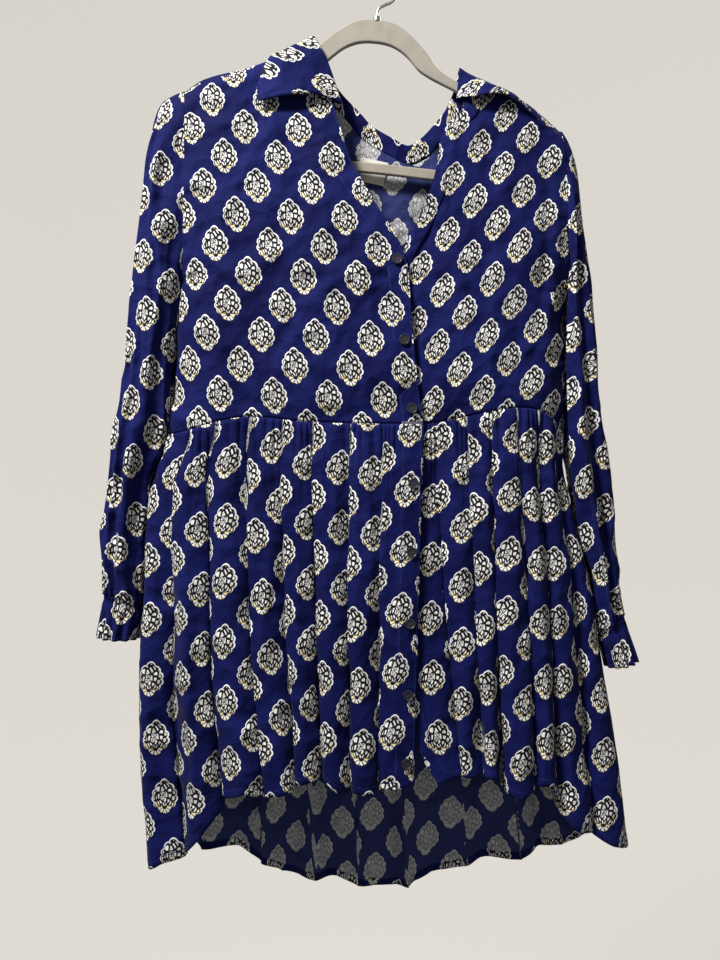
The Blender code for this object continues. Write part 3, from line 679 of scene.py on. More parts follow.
def bodiceFront(left):
    rows = body[wordOf(left) + "Edge"]
    waist = body["waist"]
    armholeEnd = body[wordOf(left) + "Armhole"][1]
    start = body["shoulderSeam"]

    def place(u, v):
        v = readTable(bodice["frontRows"], v * bodice["frontRows"][-1][0])
        inward = betweenEdges(u)
        topSide = sideLine(shoulderDrop(rows[0][1]), left)
        top = mix(topSide, rows[0][1], inward)
        waistSide = sideLine(waist[-1 if left else 0][1], left)
        bottom = mix(waistSide, rows[-1][1], inward)
        drop = mix(shoulderDrop(top) + start, waistDrop(bottom), v)
        sideDrop = mix(shoulderDrop(topSide) + start, waistDrop(waistSide), v)
        edgeDrop = mix(rows[0][0], waistDrop(rows[-1][1]), v)
        x = mix(sideLine(sideDrop, left), readTable(rows, edgeDrop), inward)
        out = bodyDepth(x, drop, False)
        if left:
            out -= underRight(x, drop)
        length, low, deep = bodice["underArm"]
        underArm = math.exp(-(((drop - armholeEnd) / length - low) ** 2))
        return Vector((x, min(-out, -body["sideGap"] - deep * underArm), -drop))
    return place


def onGrain(grain, s, z):
    (a, b), (c, d), (e, f) = grain
    return np.stack((a * s + b * z + e, c * s + d * z + f), -1)


# Print coordinates of a panel that lies mostly flat, measured round its sides
def planePrint(grain, anchor):
    def printAt(points, us, vs):
        across = runLength(points, 1, [0, 1])
        column = np.abs(points[0, :, 0] - anchor).argmin()
        across = across - across[:, column:column + 1]
        direction = np.sign(points[0, -1, 0] - points[0, 0, 0])
        x = points[:, column:column + 1, 0] + across * direction
        down = runLength(points, 0, [1, 2])
        return onGrain(grain, x, points[-1:, :, 2] + (down[-1:] - down))
    return printAt


# Small puckers where a panel is sewn
def seamPucker(us, vs, size):
    pitch, fade, sway = (bodice["pucker" + word] for word in ("Pitch", "Fade", "Sway"))
    across, down = (
        np.sin(shares * length / pitch * 2 * np.pi + sway * np.sin(shares * uneven))
        for shares, length, uneven in ((us, size[0], 31), (vs, size[1], 37)))
    ends = np.exp(-vs * size[1] / fade) + np.exp(-(1 - vs) * size[1] / fade)
    side = np.exp(-us * size[0] / fade)
    return (across[None, :] * ends[:, None] + down[:, None] * side[None, :]) * bodice["pucker"]


for left, word in bothSides:
    wide, tall = bodice[word + "Size"]
    addSheet(
        f"bodice_front_{word}_cloth", bodiceFront(left), bodice[word + "Grid"],
        planePrint(bodice[word + "Print"], bodice[word + "Anchor"]),
        clothRelief(
            3 if left else 1, bodice[word + "Creases"], (wide, wide), (tall, tall),
            bodice["frontCrumple"], lambda points, us, vs: seamPucker(us, vs, (wide, tall)),
            bodice["edgeMargin"], collarBack=False))


collarWork = {
    "stations": (     # x and reach of the crest, x and reach of the edge, stand, lift
        (-45, -72, -139, -53, 14, 0), (-54, -44, -141, -35, 14, 0), (-65, -16, -134, -18, 14, 1),
        (-72, -7, -129, -8, 15, 5), (-77, 0, -123, 0, 15, 8), (-73, 7, -119, 11, 15, 5),
        (-65, 18, -115, 28, 13, 1), (-48, 46, -96, 72, 16, 0), (-25, 67, -62, 110, 20, 0),
        (-10, 80, -36, 132, 22, 0), (13, 88, 2, 146, 22, 0), (29, 92, 30, 151, 22, 0),
        (44, 81, 58, 140, 22, 0), (59, 62, 88, 115, 20, 0), (75, 37, 112, 80, 16, 0),
        (83, 17, 128, 34, 13, 1), (87, 7, 136, 14, 15, 4), (88, 0, 143, 0, 15, 6),
        (87, -7, 150, -7, 15, 4), (86, -14, 158, -13, 14, 1), (85, -24, 168, -16, 14, 0),
        (84, -34, 177, -20, 14, 0)),
    "grid": (168, 44), "fallLift": 3.0, "standShare": 0.25, "crestShare": 0.625,
    "neckFirst": 11, "neckLast": 31, "wall": 1.5,
    # the viewer's right end curls up and out, and the left one stands off a little
    "curlFrom": 0.80, "curlLift": 12.0, "curlUp": 8.0, "wingFrom": 0.83, "wingLift": 9.0,
    "wingRound": 0.85, "seamGap": 0.6, "stitches": 5.0,
    "printCrest": 0.45, "printShift": (6, 14),
    # how fast each changes with x, y and z, and how high it is
    "soft": (0.028, 0.03, 0.028, 2.2), "fine": (0.045, 0.05, 1.6), "fineLevel": 0.4,
    "puff": 0.9, "reliefFrom": (0.66, 0.85),
}


def neckSeam(s):
    rows = numbered(collarWork["stations"])
    place = s * (len(rows) - 1)
    x, reach, xEdge, reachEdge, stand = (readTable(rows, place, c) for c in range(1, 6))
    length = math.hypot(xEdge - x, reachEdge - reach)
    return x + (xEdge - x) * stand / length, reach + (reachEdge - reach) * stand / length


def bodiceBack():
    sideColumns, count, step = (bodice[word] for word in ("sideColumns", "columns", "neckStep"))
    rightNeck, leftNeck = body["rightEdge"][0][1], body["leftEdge"][0][1]
    waist = body["waist"]
    collarColumns = 2 * (len(collarWork["stations"]) - 1)
    start = -body["shoulderSeam"]

    def topOf(column):
        if column <= sideColumns:
            share = betweenEdges(column / sideColumns)
            return mix(sideLine(body["rightArmhole"][0], False), rightNeck, share), start
        if column >= count - sideColumns:
            share = betweenEdges((count - column) / sideColumns)
            return mix(sideLine(body["leftArmhole"][0], True), leftNeck, share), start
        if column < sideColumns + 1:
            t = column - sideColumns
            return rightNeck + step * t, start * (1 - t)
        if column > count - sideColumns - 1:
            t = count - sideColumns - column
            return leftNeck - step * t, start * (1 - t) + t
        if column < sideColumns + 2:
            x, reach = neckSeam(collarWork["neckFirst"] / collarColumns)
            t = column - sideColumns - 1
            return mix(rightNeck + step, x, t), mix(0, reach, t)
        if column > count - sideColumns - 2:
            x, reach = neckSeam(collarWork["neckLast"] / collarColumns)
            t = count - sideColumns - 1 - column
            return mix(leftNeck - step, x, t), mix(1, reach, t)
        return neckSeam((column - sideColumns - 2 + collarWork["neckFirst"]) / collarColumns)

    def place(u, v):
        top, first = topOf(u * count)
        rightTop, leftTop = topOf(0)[0], topOf(count)[0]
        shareTop = (top - rightTop) / (leftTop - rightTop)
        half = 0.5 * fromSeam(min(u, 1 - u) * 2)
        shareBottom = half if u <= 0.5 else 1 - half
        bottom = mix(waist[0][0], waist[-1][0], shareBottom)
        fall = readTable(bodice["backRows"], v * bodice["backRows"][-1][0])
        reach = mix(first, waistDrop(bottom) - shoulderDrop(bottom), fall)
        share = mix(shareTop, shareBottom, fall)
        drop = shoulderDrop(mix(top, bottom, fall)) + abs(reach)
        x = mix(sideLine(drop, False), sideLine(drop, True), share)
        point = onBody(x, reach)
        if v >= 0.9999:
            point.z = -waistDrop(bottom)
        if reach > 0:
            point.y = max(point.y, body["sideGap"])
        return point
    return place


addSheet(
    "bodice_back_cloth", bodiceBack(), bodice["backGrid"], planePrint(bodice["backPrint"], 0),
    clothRelief(7, bodice["backCreases"], (500, 500), (430, 430), bodice["backCrumple"],
                lambda points, us, vs: seamPucker(us, vs, (450, 420)), collarBack=True),
    facing=1)
print("bodice made")


# Skirt: gathered panels with folds

skirt = {
    # x at the waist, x at the hem, how far forward at the hem, drop of the hem, and for a
    # trough how much the next fold (or, below 0, the one before) leans over it
    "rightFolds": (
        (-243, -265, 0, 1028, 0), (-229, -247, 31, 1017, 0), (-214, -221, 18, 1008, -0.9),
        (-200, -197, 50, 976, 0), (-184, -178, 26, 941, -1.5), (-164, -150, 58, 927, 0),
        (-146, -128, 43, 935, 0.9), (-128, -110, 57, 930, 0), (-110, -93, 42, 922, 1.2),
        (-94, -82, 54, 918, 0), (-78, -69, 34, 911, -1.5), (-58, -49, 59, 926, 0),
        (-36, -32, 39, 927, 1.9), (-22, -20, 59, 928, 0), (0, -4, 46, 927, 0.9),
        (22, 13, 58, 923, 0), (45, 33, 54, 917, 0)),
    "leftFolds": (
        (205, 281, 0, 1002, 0), (200, 255, 34, 994, 0), (193, 232, 22, 981, 1.0),
        (184, 211, 44, 973, 0), (173, 195, 20, 944, -1.5), (160, 180, 54, 920, 0),
        (148, 165, 43, 922, 0.9), (135, 150, 59, 934, 0), (121, 134, 33, 927, -1.9),
        (107, 121, 55, 912, 0), (93, 110, 42, 911, -1.0), (78, 97, 53, 912, 0),
        (61, 86, 38, 912, 1.3), (41, 75, 48, 914, 0), (21, 61, 49, 920, 0)),
    "parting": (8, 4, 2),
    "backHem": (
        (-265, 1028), (-240, 1026), (-190, 1024), (-166, 1029), (-140, 1045), (-112, 1062),
        (-84, 1061), (-37, 1067), (1, 1079), (47, 1064), (119, 1044), (162, 1037),
        (210, 1024), (250, 1006), (281, 1002)),
    "backFolds": 9, "backCrest": 42, "backTrough": 25, "backUneven": 4.0, "backDrift": 0.012,
    "growth": 0.62, "gather": 3.4, "gatherFall": 56.0, "gatherPitch": 10.0,
    "lean": 1.5, "tuck": 1.7, "hem": 8.0, "printDrift": 9.0,
    "uneven": (0.035, 9), "long": (0.05, 0.55, 0.9, 1.3), "startIn": 2.5, "waveRound": 0.8,
    "waveLevel": 0.35, "fallRound": 1.3,
    "wander": 3.2, "wanderPace": (1.9, 2.3), "wanderBack": 1.6,
    "hang": 3.4, "hangPace": (0.034, 0.0045), "hangLevel": 0.45, "hangSharp": 2.2, "hangFrom": 60,
    "crumple": 1.6, "edgeMargin": 34.0,
    "rightGrid": (256, 140), "leftGrid": (224, 140), "backGrid": (270, 150),
    "sharp": (0.2, 0.7), "troughRound": 3.2, "deepFrom": 10,     # at the back, in front
    "printMiddle": 720, "printLean": 0.07,
}


# How a fold line strays on its way down
def foldWander(i, v):
    across, down = skirt["wanderPace"]
    stray = noise.noise(Vector((i * across, v * down, 4.0)))
    return skirt["wander"] * stray * math.sin(math.pi * v)


def skirtFront(left):
    folds = skirt[wordOf(left) + "Folds"]
    waist = body["waist"]
    count = len(folds) - 1

    def line(i, v):
        xWaist, xHem, forward, dropHem, overlap = folds[i]
        top = waistDrop(xWaist)
        drop = mix(top, dropHem, v)
        straight = mix(folds[0][0], folds[0][1], v)
        sideDrop = mix(waist[-1 if left else 0][1], folds[0][3], v)
        bow = sideLine(sideDrop, left) - straight
        late = skirt["parting"][count - i] if left and count - i < 3 else 1
        x = mix(xWaist, xHem, v ** late) + bow * (1 - i / count) ** 2
        if 0 < i < count:
            x += foldWander(i + (30 if left else 0), v)
        waistOut = bodyDepth(xWaist, top, False)
        if left:
            waistOut -= underRight(xWaist, top)
        out = mix(waistOut, forward, v ** skirt["growth"]) if i else 0.0
        return x, out, drop, overlap

    return lambda u, v: across(line, count, u, v, -1)


def skirtBack():
    count = 2 * skirt["backFolds"]
    right, left = skirt["rightFolds"][0], skirt["leftFolds"][0]

    def line(i, v):
        share = i / count + (skirt["backDrift"] * math.sin(2.3 * i) if 0 < i < count else 0)
        xWaist, xHem = mix(right[0], left[0], share), mix(right[1], left[1], share)
        top = waistDrop(xWaist)
        drop = mix(top, readTable(skirt["backHem"], xHem), v)
        bowRight = sideLine(mix(top, right[3], v), False) - mix(right[0], right[1], v)
        bowLeft = sideLine(mix(top, left[3], v), True) - mix(left[0], left[1], v)
        x = mix(xWaist, xHem, v) + bowRight * (1 - share) ** 4 + bowLeft * share ** 4
        if i in (0, count):
            return x, 0.0, drop, 0.0
        x += foldWander(i + 60, v) * skirt["wanderBack"]
        full = skirt["backCrest"] if i % 2 else skirt["backTrough"]
        full += skirt["backUneven"] * math.sin(1.7 * i)
        waistOut = bodyDepth(xWaist, top, True)
        return x, mix(waistOut, full, v ** skirt["growth"]), drop, 0.8 * math.sin(2.6 * i)

    return lambda u, v: across(line, count, u, v, 1)


# Joins the fold lines: broad crests, narrow troughs, and flanks that lean over them
def across(line, count, u, v, side):
    i = min(int(u * count), count - 1)
    t = u * count - i
    a, b = line(i, v), line(i + 1, v)
    if i == 0:
        along, out = fromSeam(t), math.sin(t * math.pi / 2)
    elif i == count - 1 and side > 0:
        along, out = 1 - fromSeam(1 - t), 1 - math.sin((1 - t) * math.pi / 2)
    else:
        low = t if a[1] > b[1] else 1 - t
        deep = min(1.0, abs(b[1] - a[1]) / skirt["deepFrom"])
        sharp = skirt["sharp"][side < 0]
        fall = mix(low * low * (3 - 2 * low), low ** skirt["troughRound"], sharp * deep)
        out = fall if a[1] > b[1] else 1 - fall
        along = t
        if a[1] < b[1] and a[3] > 0:
            along -= a[3] * deep * skirt["lean"] * t * (1 - t) ** 2
        if b[1] < a[1] and b[3] < 0:
            along -= b[3] * deep * skirt["lean"] * t * t * (1 - t)
    forward = max(mix(a[1], b[1], out), body["sideGap"])
    x = mix(a[0], b[0], along)
    return Vector((x, side * forward, -mix(a[2], b[2], t if 0 < i < count - 1 else along)))


# Small gathers that start at the waist seam and run out below it
def gatherRelief(seed):
    s = skirt

    def uneven(x, pace, level):
        return np.array([noise.noise(Vector((a * pace, seed, level))) for a in x[0]])[None, :]

    def more(points, us, vs):
        x = points[..., 0]
        below = -points[..., 2] + points[:1, :, 2]
        pace, turns = s["uneven"]
        phase = uneven(x, pace, 0) * turns
        wave = np.abs(np.sin(x * math.pi / s["gatherPitch"] + phase)) ** s["waveRound"]
        pace, least, spread, stretch = s["long"]
        long = least + spread * np.abs(uneven(x, pace, 8))
        fall = np.exp(-((below / (s["gatherFall"] * stretch * long)) ** s["fallRound"]))
        return (wave - s["waveLevel"]) * s["gather"] * fall * np.clip(below / s["startIn"], 0, 1)
    return more


# Slight hanging folds that come and go
def hangRelief(points, seed):
    across, down = skirt["hangPace"]

    def fold(x, z):
        stray = abs(noise.noise(Vector((x * across, z * down, seed))))
        return skirt["hang"] * (skirt["hangLevel"] - stray * skirt["hangSharp"])
    return overGrid(fold, points[..., 0], points[..., 2])


def skirtRelief(seed, lines, sides, ends, edgeMargin=cloth["margin"]):
    gathers = gatherRelief(seed)

    def more(points, us, vs):
        below = -points[..., 2] + points[:1, :, 2]
        fade = np.clip(below / skirt["hangFrom"], 0, 1)
        rim = edgeFade(us, vs, sides, (None, None), edgeMargin)
        return gathers(points, us, vs) + hangRelief(points, seed) * fade * rim
    return clothRelief(seed + 10, lines, sides, ends, skirt["crumple"], more, edgeMargin)


def troughsOf(folds):
    count = len(folds) - 1
    return [i / count for i in range(2, count) if folds[i][2] < min(
        folds[i - 1][2], folds[i + 1][2])]


# Print coordinates of gathered cloth: what a row lacks is tucked in at the troughs
def gatheredPrint(grain, offset, troughs):
    def printAt(points, us, vs):
        own = runLength(points, 1, [0, 1])
        marks = [0] + [int(np.abs(us - place).argmin()) for place in troughs] + [len(us) - 1]
        flat, drift = np.zeros_like(own), np.zeros_like(own)
        start = 0.0
        for number, (a, b) in enumerate(zip(marks, marks[1:])):
            width = (own[:, b] - own[:, a])[:, None]
            cut = width[-1, 0]
            here = own[:, a:b + 1] - own[:, a:a + 1] - width / 2
            near = np.clip((np.abs(here) - width / 2) / skirt["tuck"] + 1, 0, 1)
            flat[:, a:b + 1] = start + cut / 2 + here + np.sign(here) * near * (cut - width) / 2
            drift[:, a:b + 1] = (1 - near) * skirt["printDrift"] * math.sin(2.4 * number + offset)
            start += cut
        direction = np.sign(points[0, -1, 0] - points[0, 0, 0])
        s = (flat - start / 2) * direction + offset
        z = points[:1, :, 2] - runLength(points, 0, [1, 2]) + drift
        (a, b), (c, d), (e, f) = grain
        b = b + drift / skirt["printDrift"] * skirt["printLean"]
        return np.stack((a * s + b * (z + skirt["printMiddle"]) + e, c * s + d * z + f), -1)
    return printAt


# Distances along a hem and from its stitches
def sewnHem(inset):
    def sewnAt(points, us, vs):
        down = runLength(points, 0, [0, 1, 2])
        return np.stack((runLength(points, 1, [0, 1]), down[-1:] - down - inset), -1)
    return sewnAt


skirtPrint = {
    "right": (((1.0, 0.03), (0.0, 1.0), (2.0, 20.0)), -100),
    "left": (((1.0, -0.04), (0.0, 1.02), (8.0, 4.0)), 130),
    "back": (((1.0, 0.0), (0.0, 1.0), (12.0, 8.0)), 0),
}
skirtCreases = {
    "right": (
        (-225, 560, -232, 760, 6, 2.2, 4), (-150, 600, -120, 700, 6, 1.6, 6),
        (-110, 640, -60, 720, 5, -1.4, 6), (-90, 760, -120, 850, 6, 1.5, -6),
        (-20, 620, 18, 700, 4, 1.5, 4), (0, 740, -40, 830, 5, -1.4, 5),
        (-190, 800, -150, 880, 6, 1.4, 5),
    ),
    "left": (
        (120, 600, 90, 680, 5, 1.6, 5), (60, 640, 96, 730, 5, -1.5, -5),
        (160, 700, 190, 800, 6, 1.6, 5), (80, 780, 110, 860, 5, 1.5, 4),
        (200, 640, 214, 800, 6, -1.6, 6),
    ),
    "back": (
        (-120, 640, -60, 760, 8, 2.0, 8), (60, 620, 20, 780, 8, -1.8, 6),
        (130, 700, 170, 860, 8, 2.0, 8), (-180, 760, -150, 900, 7, 1.8, -6),
    ),
}
for left, word in bothSides:
    grain, offset = skirtPrint[word]
    addSheet(
        f"skirt_front_{word}_cloth", skirtFront(left), skirt[word + "Grid"],
        gatheredPrint(grain, offset, troughsOf(skirt[word + "Folds"])),
        skirtRelief(3 if left else 1, skirtCreases[word], (300, 300), (400, None),
                    skirt["edgeMargin"]),
        sewnAt=sewnHem(skirt["hem"]))
grain, offset = skirtPrint["back"]
backTroughs = [i / (2 * skirt["backFolds"]) for i in range(2, 2 * skirt["backFolds"] - 1, 2)]
addSheet(
    "skirt_back_cloth", skirtBack(), skirt["backGrid"],
    gatheredPrint(grain, offset, backTroughs),
    skirtRelief(7, skirtCreases["back"], (500, 500), (520, None)),
    facing=1, sewnAt=sewnHem(skirt["hem"]))
print("skirt made")


# Sleeves and cuffs

sleeves = {
    # x and drop of the outer end, drop of the inner end, depth forward and back
    "right": (
        (-226, 143, 366, 19, 15), (-249, 157, 396, 24, 19), (-263, 190, 424, 27, 22),
        (-270, 240, 452, 28, 23), (-277, 302, 482, 28, 24), (-285, 370, 514, 28, 24),
        (-291, 446, 552, 28, 25), (-304, 520, 590, 28, 25), (-312, 600, 644, 27, 25),
        (-320, 668, 692, 26, 24), (-318, 718, 727, 22, 20)),
    "left": (
        (207, 189, 384, 19, 15), (213, 208, 412, 23, 18), (220, 246, 440, 26, 21),
        (226, 296, 472, 27, 23), (235, 358, 506, 28, 24), (241, 422, 540, 28, 24),
        (245, 492, 576, 28, 25), (255, 560, 620, 28, 25), (263, 630, 668, 27, 25),
        (269, 698, 722, 26, 24), (276, 742, 761, 22, 20)),
    "gap": 0.6, "tip": 0.6, "seam": 0.2,
    # how many round, where they start, how they drift downwards, how deep
    "creases": ((4, 0.6, 0, 0.5), (7, 0, 2, 0.3)), "crease": 0.14,
    # how fast each changes round and down, its level, how sharp and how high it is
    "long": (1.0, 2.1, 0.4, 2.0, 7.0), "push": (0.8, 12, 0.35, 2, 3.4), "pushFrom": (0.25, 0.85),
    "fine": (1.7, 7, 0.42, 3.0), "round": 1.5, "held": (7, 9, 0.15),
    "gathers": (17, 1.5, 3), "gather": (1.6, 20),
    "grid": (120, 190),
    "print": {
        "right": ((1.0, 0.10), (0.0, 1.0), (4.0, 12.0)),
        "left": ((1.0, -0.10), (0.0, 1.0), (16.0, 2.0)),
    },
}


def onRing(row, left, turn):
    xOuter, dropOuter, dropInner, forward, backward = row
    share = 0.5 - 0.5 * math.cos(turn)
    gap = sleeves["gap"] if left else -sleeves["gap"]
    x = mix(xOuter, sideLine(dropInner, left) + gap, share)
    side = math.sin(turn)
    out = (-forward if side > 0 else backward) * abs(side) ** body["tubeRound"]
    return Vector((x, out, -mix(dropOuter, dropInner, share)))


def onArmhole(left, turn):
    top, bottom = body[wordOf(left) + "Armhole"]
    drop = mix(top, bottom, 0.5 - 0.5 * math.cos(turn))
    back = turn < 0
    out = bodyDepth(sideLine(drop, left), drop, back)
    gap = sleeves["seam"] + sleeves["tip"] * max(0.0, math.cos(turn)) ** 8
    return Vector((sideLine(drop, left) + (gap if left else -gap), out if back else -out, -drop))


def sleeveTube(left):
    rows = numbered(sleeves[wordOf(left)])
    last = len(rows) - 1

    def place(u, v):
        at = v * last
        row = tuple(readTable(rows, at, c) for c in range(1, 6))
        turn = math.remainder(u + 0.5, 1.0) * 2 * math.pi
        point = onRing(row, left, turn)
        if at < 1:
            point = onArmhole(left, turn).lerp(point, at)
        crease = sum(
            size * math.sin(count * turn + phase + drift * v)
            for count, phase, drift, size in sleeves["creases"])
        point.y *= 1 + sleeves["crease"] * crease * min(1.0, v * 2)
        return point
    return place


# Long hanging creases, and pushed-up ones towards the cuff
def sleeveRelief(seed):
    s = sleeves

    def worn(u, v):
        turn = (u + 0.5) * 2 * math.pi
        ring = Vector((math.cos(turn) * s["round"], math.sin(turn) * s["round"], 0))

        def ridge(name):
            pace, down, level, sharp, high = s[name]
            spot = ring * pace + Vector((0, 0, v * down + seed))
            return high * (level - sharp * abs(noise.noise(spot)))

        pace, down, level, high = s["fine"]
        fine = noise.voronoi(ring * pace + Vector((0, 0, v * down + seed)))[0][0] - level
        count, sway, sways = s["gathers"]
        gather = math.cos(turn * count + sway * math.sin(sways * turn + seed))
        creased = ridge("long") + high * fine + ridge("push") * smooth(*s["pushFrom"], v)
        top, bottom, least = s["held"]
        held = min(1.0, v * top, (1 - v) * bottom + least)
        size, fade = s["gather"]
        return creased * held + size * gather * math.exp(-(1 - v) * fade)
    return lambda points, us, vs: overGrid(worn, *np.meshgrid(us, vs))


# Print coordinates round a tube, from the line along its front
def tubePrint(grain, anchor=0.75):
    def printAt(points, us, vs):
        around = runLength(points, 1, [0, 1])
        column = np.abs(us - anchor).argmin()
        nextX = points[:, column + 2, 0] - points[:, column, 0]
        direction = np.sign(nextX[len(vs) // 2])
        s = points[:, column:column + 1, 0] + (around - around[:, column:column + 1]) * direction
        z = points[..., 2]
        outer = np.abs(us - 0.5).argmin()
        edgeX, edgeDrop = points[:, outer, 0], -points[:, outer, 2]
        level = np.interp(-z, edgeDrop, edgeX)          # the outer edge at each point's height
        s = s + 2 * (level - edgeX[:, None]) * (us < us[outer])
        return onGrain(grain, s, z)
    return printAt


cuffs = {
    "right": (-325, 767, -280, 771), "left": (292, 793, 258, 803),
    "depth": (26, 24), "waves": 12, "wave": 0.115, "grid": (192, 22), "seam": 0.3,
    "pinch": (0.10, 0.12, 0.1), "ruck": (1.1, 0.1, 0.2),     # how much, how far down, how long
    "rucks": 24, "hem": 4.0,
}


def cuffTube(left):
    rows = sleeves[wordOf(left)]
    xOuter, dropOuter, xInner, dropInner = cuffs[wordOf(left)]

    def place(u, v):
        turn = math.remainder(u + 0.5, 1.0) * 2 * math.pi
        top = onRing(rows[-1], left, turn)
        top.z -= cuffs["seam"]
        share = 0.5 - 0.5 * math.cos(turn)
        wave = 1 + cuffs["wave"] * math.sin(cuffs["waves"] * turn)
        side = math.sin(turn) * cuffs["depth"][0 if turn > 0 else 1]
        middle = 0.5 * (xOuter + xInner)
        x = middle + (mix(xOuter, xInner, share) - middle) * wave
        bottom = Vector((x, -side * wave, -mix(dropOuter, dropInner, share)))
        point = top.lerp(bottom, v)
        pinch, ruck = (
            size * math.exp(-((v - down) / long) ** 2)
            for size, down, long in (cuffs["pinch"], cuffs["ruck"]))
        ruck *= math.sin(cuffs["rucks"] * turn + 2 * math.sin(5 * turn))
        centre = Vector((middle, 0, point.z))
        away = point - centre
        return centre + away * (1 - pinch) + away.normalized() * ruck
    return place


for left, word in bothSides:
    grain = sleeves["print"][word]
    addSheet(f"sleeve_{word}_cloth", sleeveTube(left), sleeves["grid"], tubePrint(grain),
             sleeveRelief(21 if left else 23), facing=0)
    addSheet(f"cuff_{word}_cloth", cuffTube(left), cuffs["grid"], tubePrint(grain), None,
             facing=0, sewnAt=sewnHem(cuffs["hem"]))
print("sleeves made")


# Collar

def collarSheet():
    w = collarWork
    rows = numbered(w["stations"])
    wall, lift = w["wall"], w["fallLift"]
    radius = 0.5 * (lift + wall)
    first, last = w["standShare"], w["crestShare"]

    def place(u, v):
        at = u * (len(rows) - 1)
        x, reach, xEdge, reachEdge, stand, puff = (readTable(rows, at, c) for c in range(1, 7))
        length = math.hypot(xEdge - x, reachEdge - reach)
        along = Vector(((xEdge - x) / length, (reachEdge - reach) / length))
        if v < first:
            distance, height = mix(stand - w["seamGap"], radius, v / first), -wall
        elif v < last:
            bend = (v - first) / (last - first) * math.pi
            distance = radius * (1 - math.sin(bend))
            height = lift - radius - radius * math.cos(bend)
        else:
            distance, height = mix(radius, length, (v - last) / (1 - last)), lift
        share = min(1.0, distance / length)
        curl = smooth(w["curlFrom"], 1.0, u) * math.sin(math.pi * share) * (v > last)
        wing = smooth(w["wingFrom"], 1.0, 1 - u) * math.sin(
            math.pi * w["wingRound"] * share) * (v > last)
        height += puff * (1 - share) + w["curlLift"] * curl + w["wingLift"] * wing
        return onBody(x + along.x * distance,
                      reach + along.y * distance + w["curlUp"] * curl, height)
    return place


def collarPrint(points, us, vs):
    around, down = lengths(points)
    middle = around - around[:, len(us) // 2:len(us) // 2 + 1]
    crest = np.abs(vs - collarWork["printCrest"]).argmin()
    right, up = collarWork["printShift"]
    return np.stack((middle + right, -(down - down[crest:crest + 1]) + up), -1)


def collarRelief(points, us, vs):
    w = collarWork

    def worn(v, x, y, z):
        paceX, paceY, paceZ, high = w["soft"]
        soft = high * noise.noise(Vector((x * paceX, z * paceZ, y * paceY)))
        paceX, paceZ, high = w["fine"]
        fine = high * (noise.voronoi(Vector((x * paceX, z * paceZ, 3)))[0][0] - w["fineLevel"])
        return (soft + fine + w["puff"]) * smooth(*w["reliefFrom"], v)
    return overGrid(worn, np.meshgrid(us, vs)[1], *np.moveaxis(points, -1, 0))


# Topstitching round the collar's free edge
def collarSewn(points, us, vs):
    around, down = lengths(points)
    toEdge = down[-1:] - down
    toEnd = np.minimum(around, around[:, -1:] - around)
    along = np.where(toEdge < toEnd, around, down)
    return np.stack((along, np.minimum(toEdge, toEnd) - collarWork["stitches"]), -1)


addSheet("collar_cloth", collarSheet(), collarWork["grid"], collarPrint, collarRelief,
         facing=1, sewnAt=collarSewn)
print("collar made")


# Front bands, on their panels

bands = {
    "rightWidth": 23.0, "leftWidth": 17.0, "start": 0.03, "lift": 1.25, "risesIn": (0.35, 40),
    "grid": (12, 300), "stitches": 1.8, "step": 0.004, "nearby": (4, 0.05),
}


def wholeFront(left):
    upper, lower = bodiceFront(left), skirtFront(left)
    return lambda u, v: upper(u, v) if v <= 1 else lower(u, v - 1)


def insetFrom(front, v, distance):
    u, gone, last = 1.0, 0.0, front(1.0, v)
    while gone < distance:
        step = bands["step"]
        point = front(u - step, v)
        size = (point - last).length
        if gone + size > distance:
            return u - step * (distance - gone) / size
        gone += size
        u, last = u - step, point
    return u


def faceOut(front, u, v):
    step = bands["step"]
    low, high = front(u - step, v), front(min(1, u + step), v)
    top, bottom = front(u, max(0, v - step)), front(u, min(2, v + step))
    normal = (high - low).cross(bottom - top).normalized()
    return normal if normal.y < 0 else -normal


def bandSheet(left):
    front = wholeFront(left)
    width = bands[wordOf(left) + "Width"]
    known = {}

    def place(u, v):
        down = mix(bands["start"], 2, v)
        if down not in known:
            known[down] = insetFrom(front, down, width)
        at = mix(1.0, known[down], u)
        least, pace = bands["risesIn"]
        rise = bands["lift"] * min(1.0, least + v * pace)
        return front(at, down) + faceOut(front, at, down) * rise
    return place


# The print of the panels under it, carried on over the band
def bandPrint(word):
    panels = []
    for name in ("bodice_front", "skirt_front"):
        spots, prints = printed[f"{name}_{word}_cloth"]
        spots, prints = spots.reshape(-1, 3), prints.reshape(-1, 2)
        near = kdtree.KDTree(len(spots))
        for number, spot in enumerate(spots):
            near.insert(spot, number)
        near.balance()
        panels.append((near, prints))

    def printAt(points, us, vs):
        spread = np.zeros(points.shape[:2] + (2,))
        count, least = bands["nearby"]
        for j, v in enumerate(vs):
            near, prints = panels[mix(bands["start"], 2, v) > 1]
            for i in range(len(us)):
                found = near.find_n(points[j, i], count)
                shares = np.array([1 / (far * far + least) for _, _, far in found])
                spread[j, i] = shares @ prints[[number for _, number, _ in found]] / shares.sum()
        return spread
    return printAt


# A row of stitches along each edge of a band
def bandSewn(points, us, vs):
    around, down = lengths(points)
    toEdge = np.minimum(around, around[:, -1:] - around)
    return np.stack((down, toEdge - bands["stitches"]), -1)


for left, word in bothSides:
    addSheet(f"placket_{word}_cloth", bandSheet(left), bands["grid"], bandPrint(word), None,
             sewnAt=bandSewn)
print("bands made")


# Finishes of the hanger, hook, buttons and label

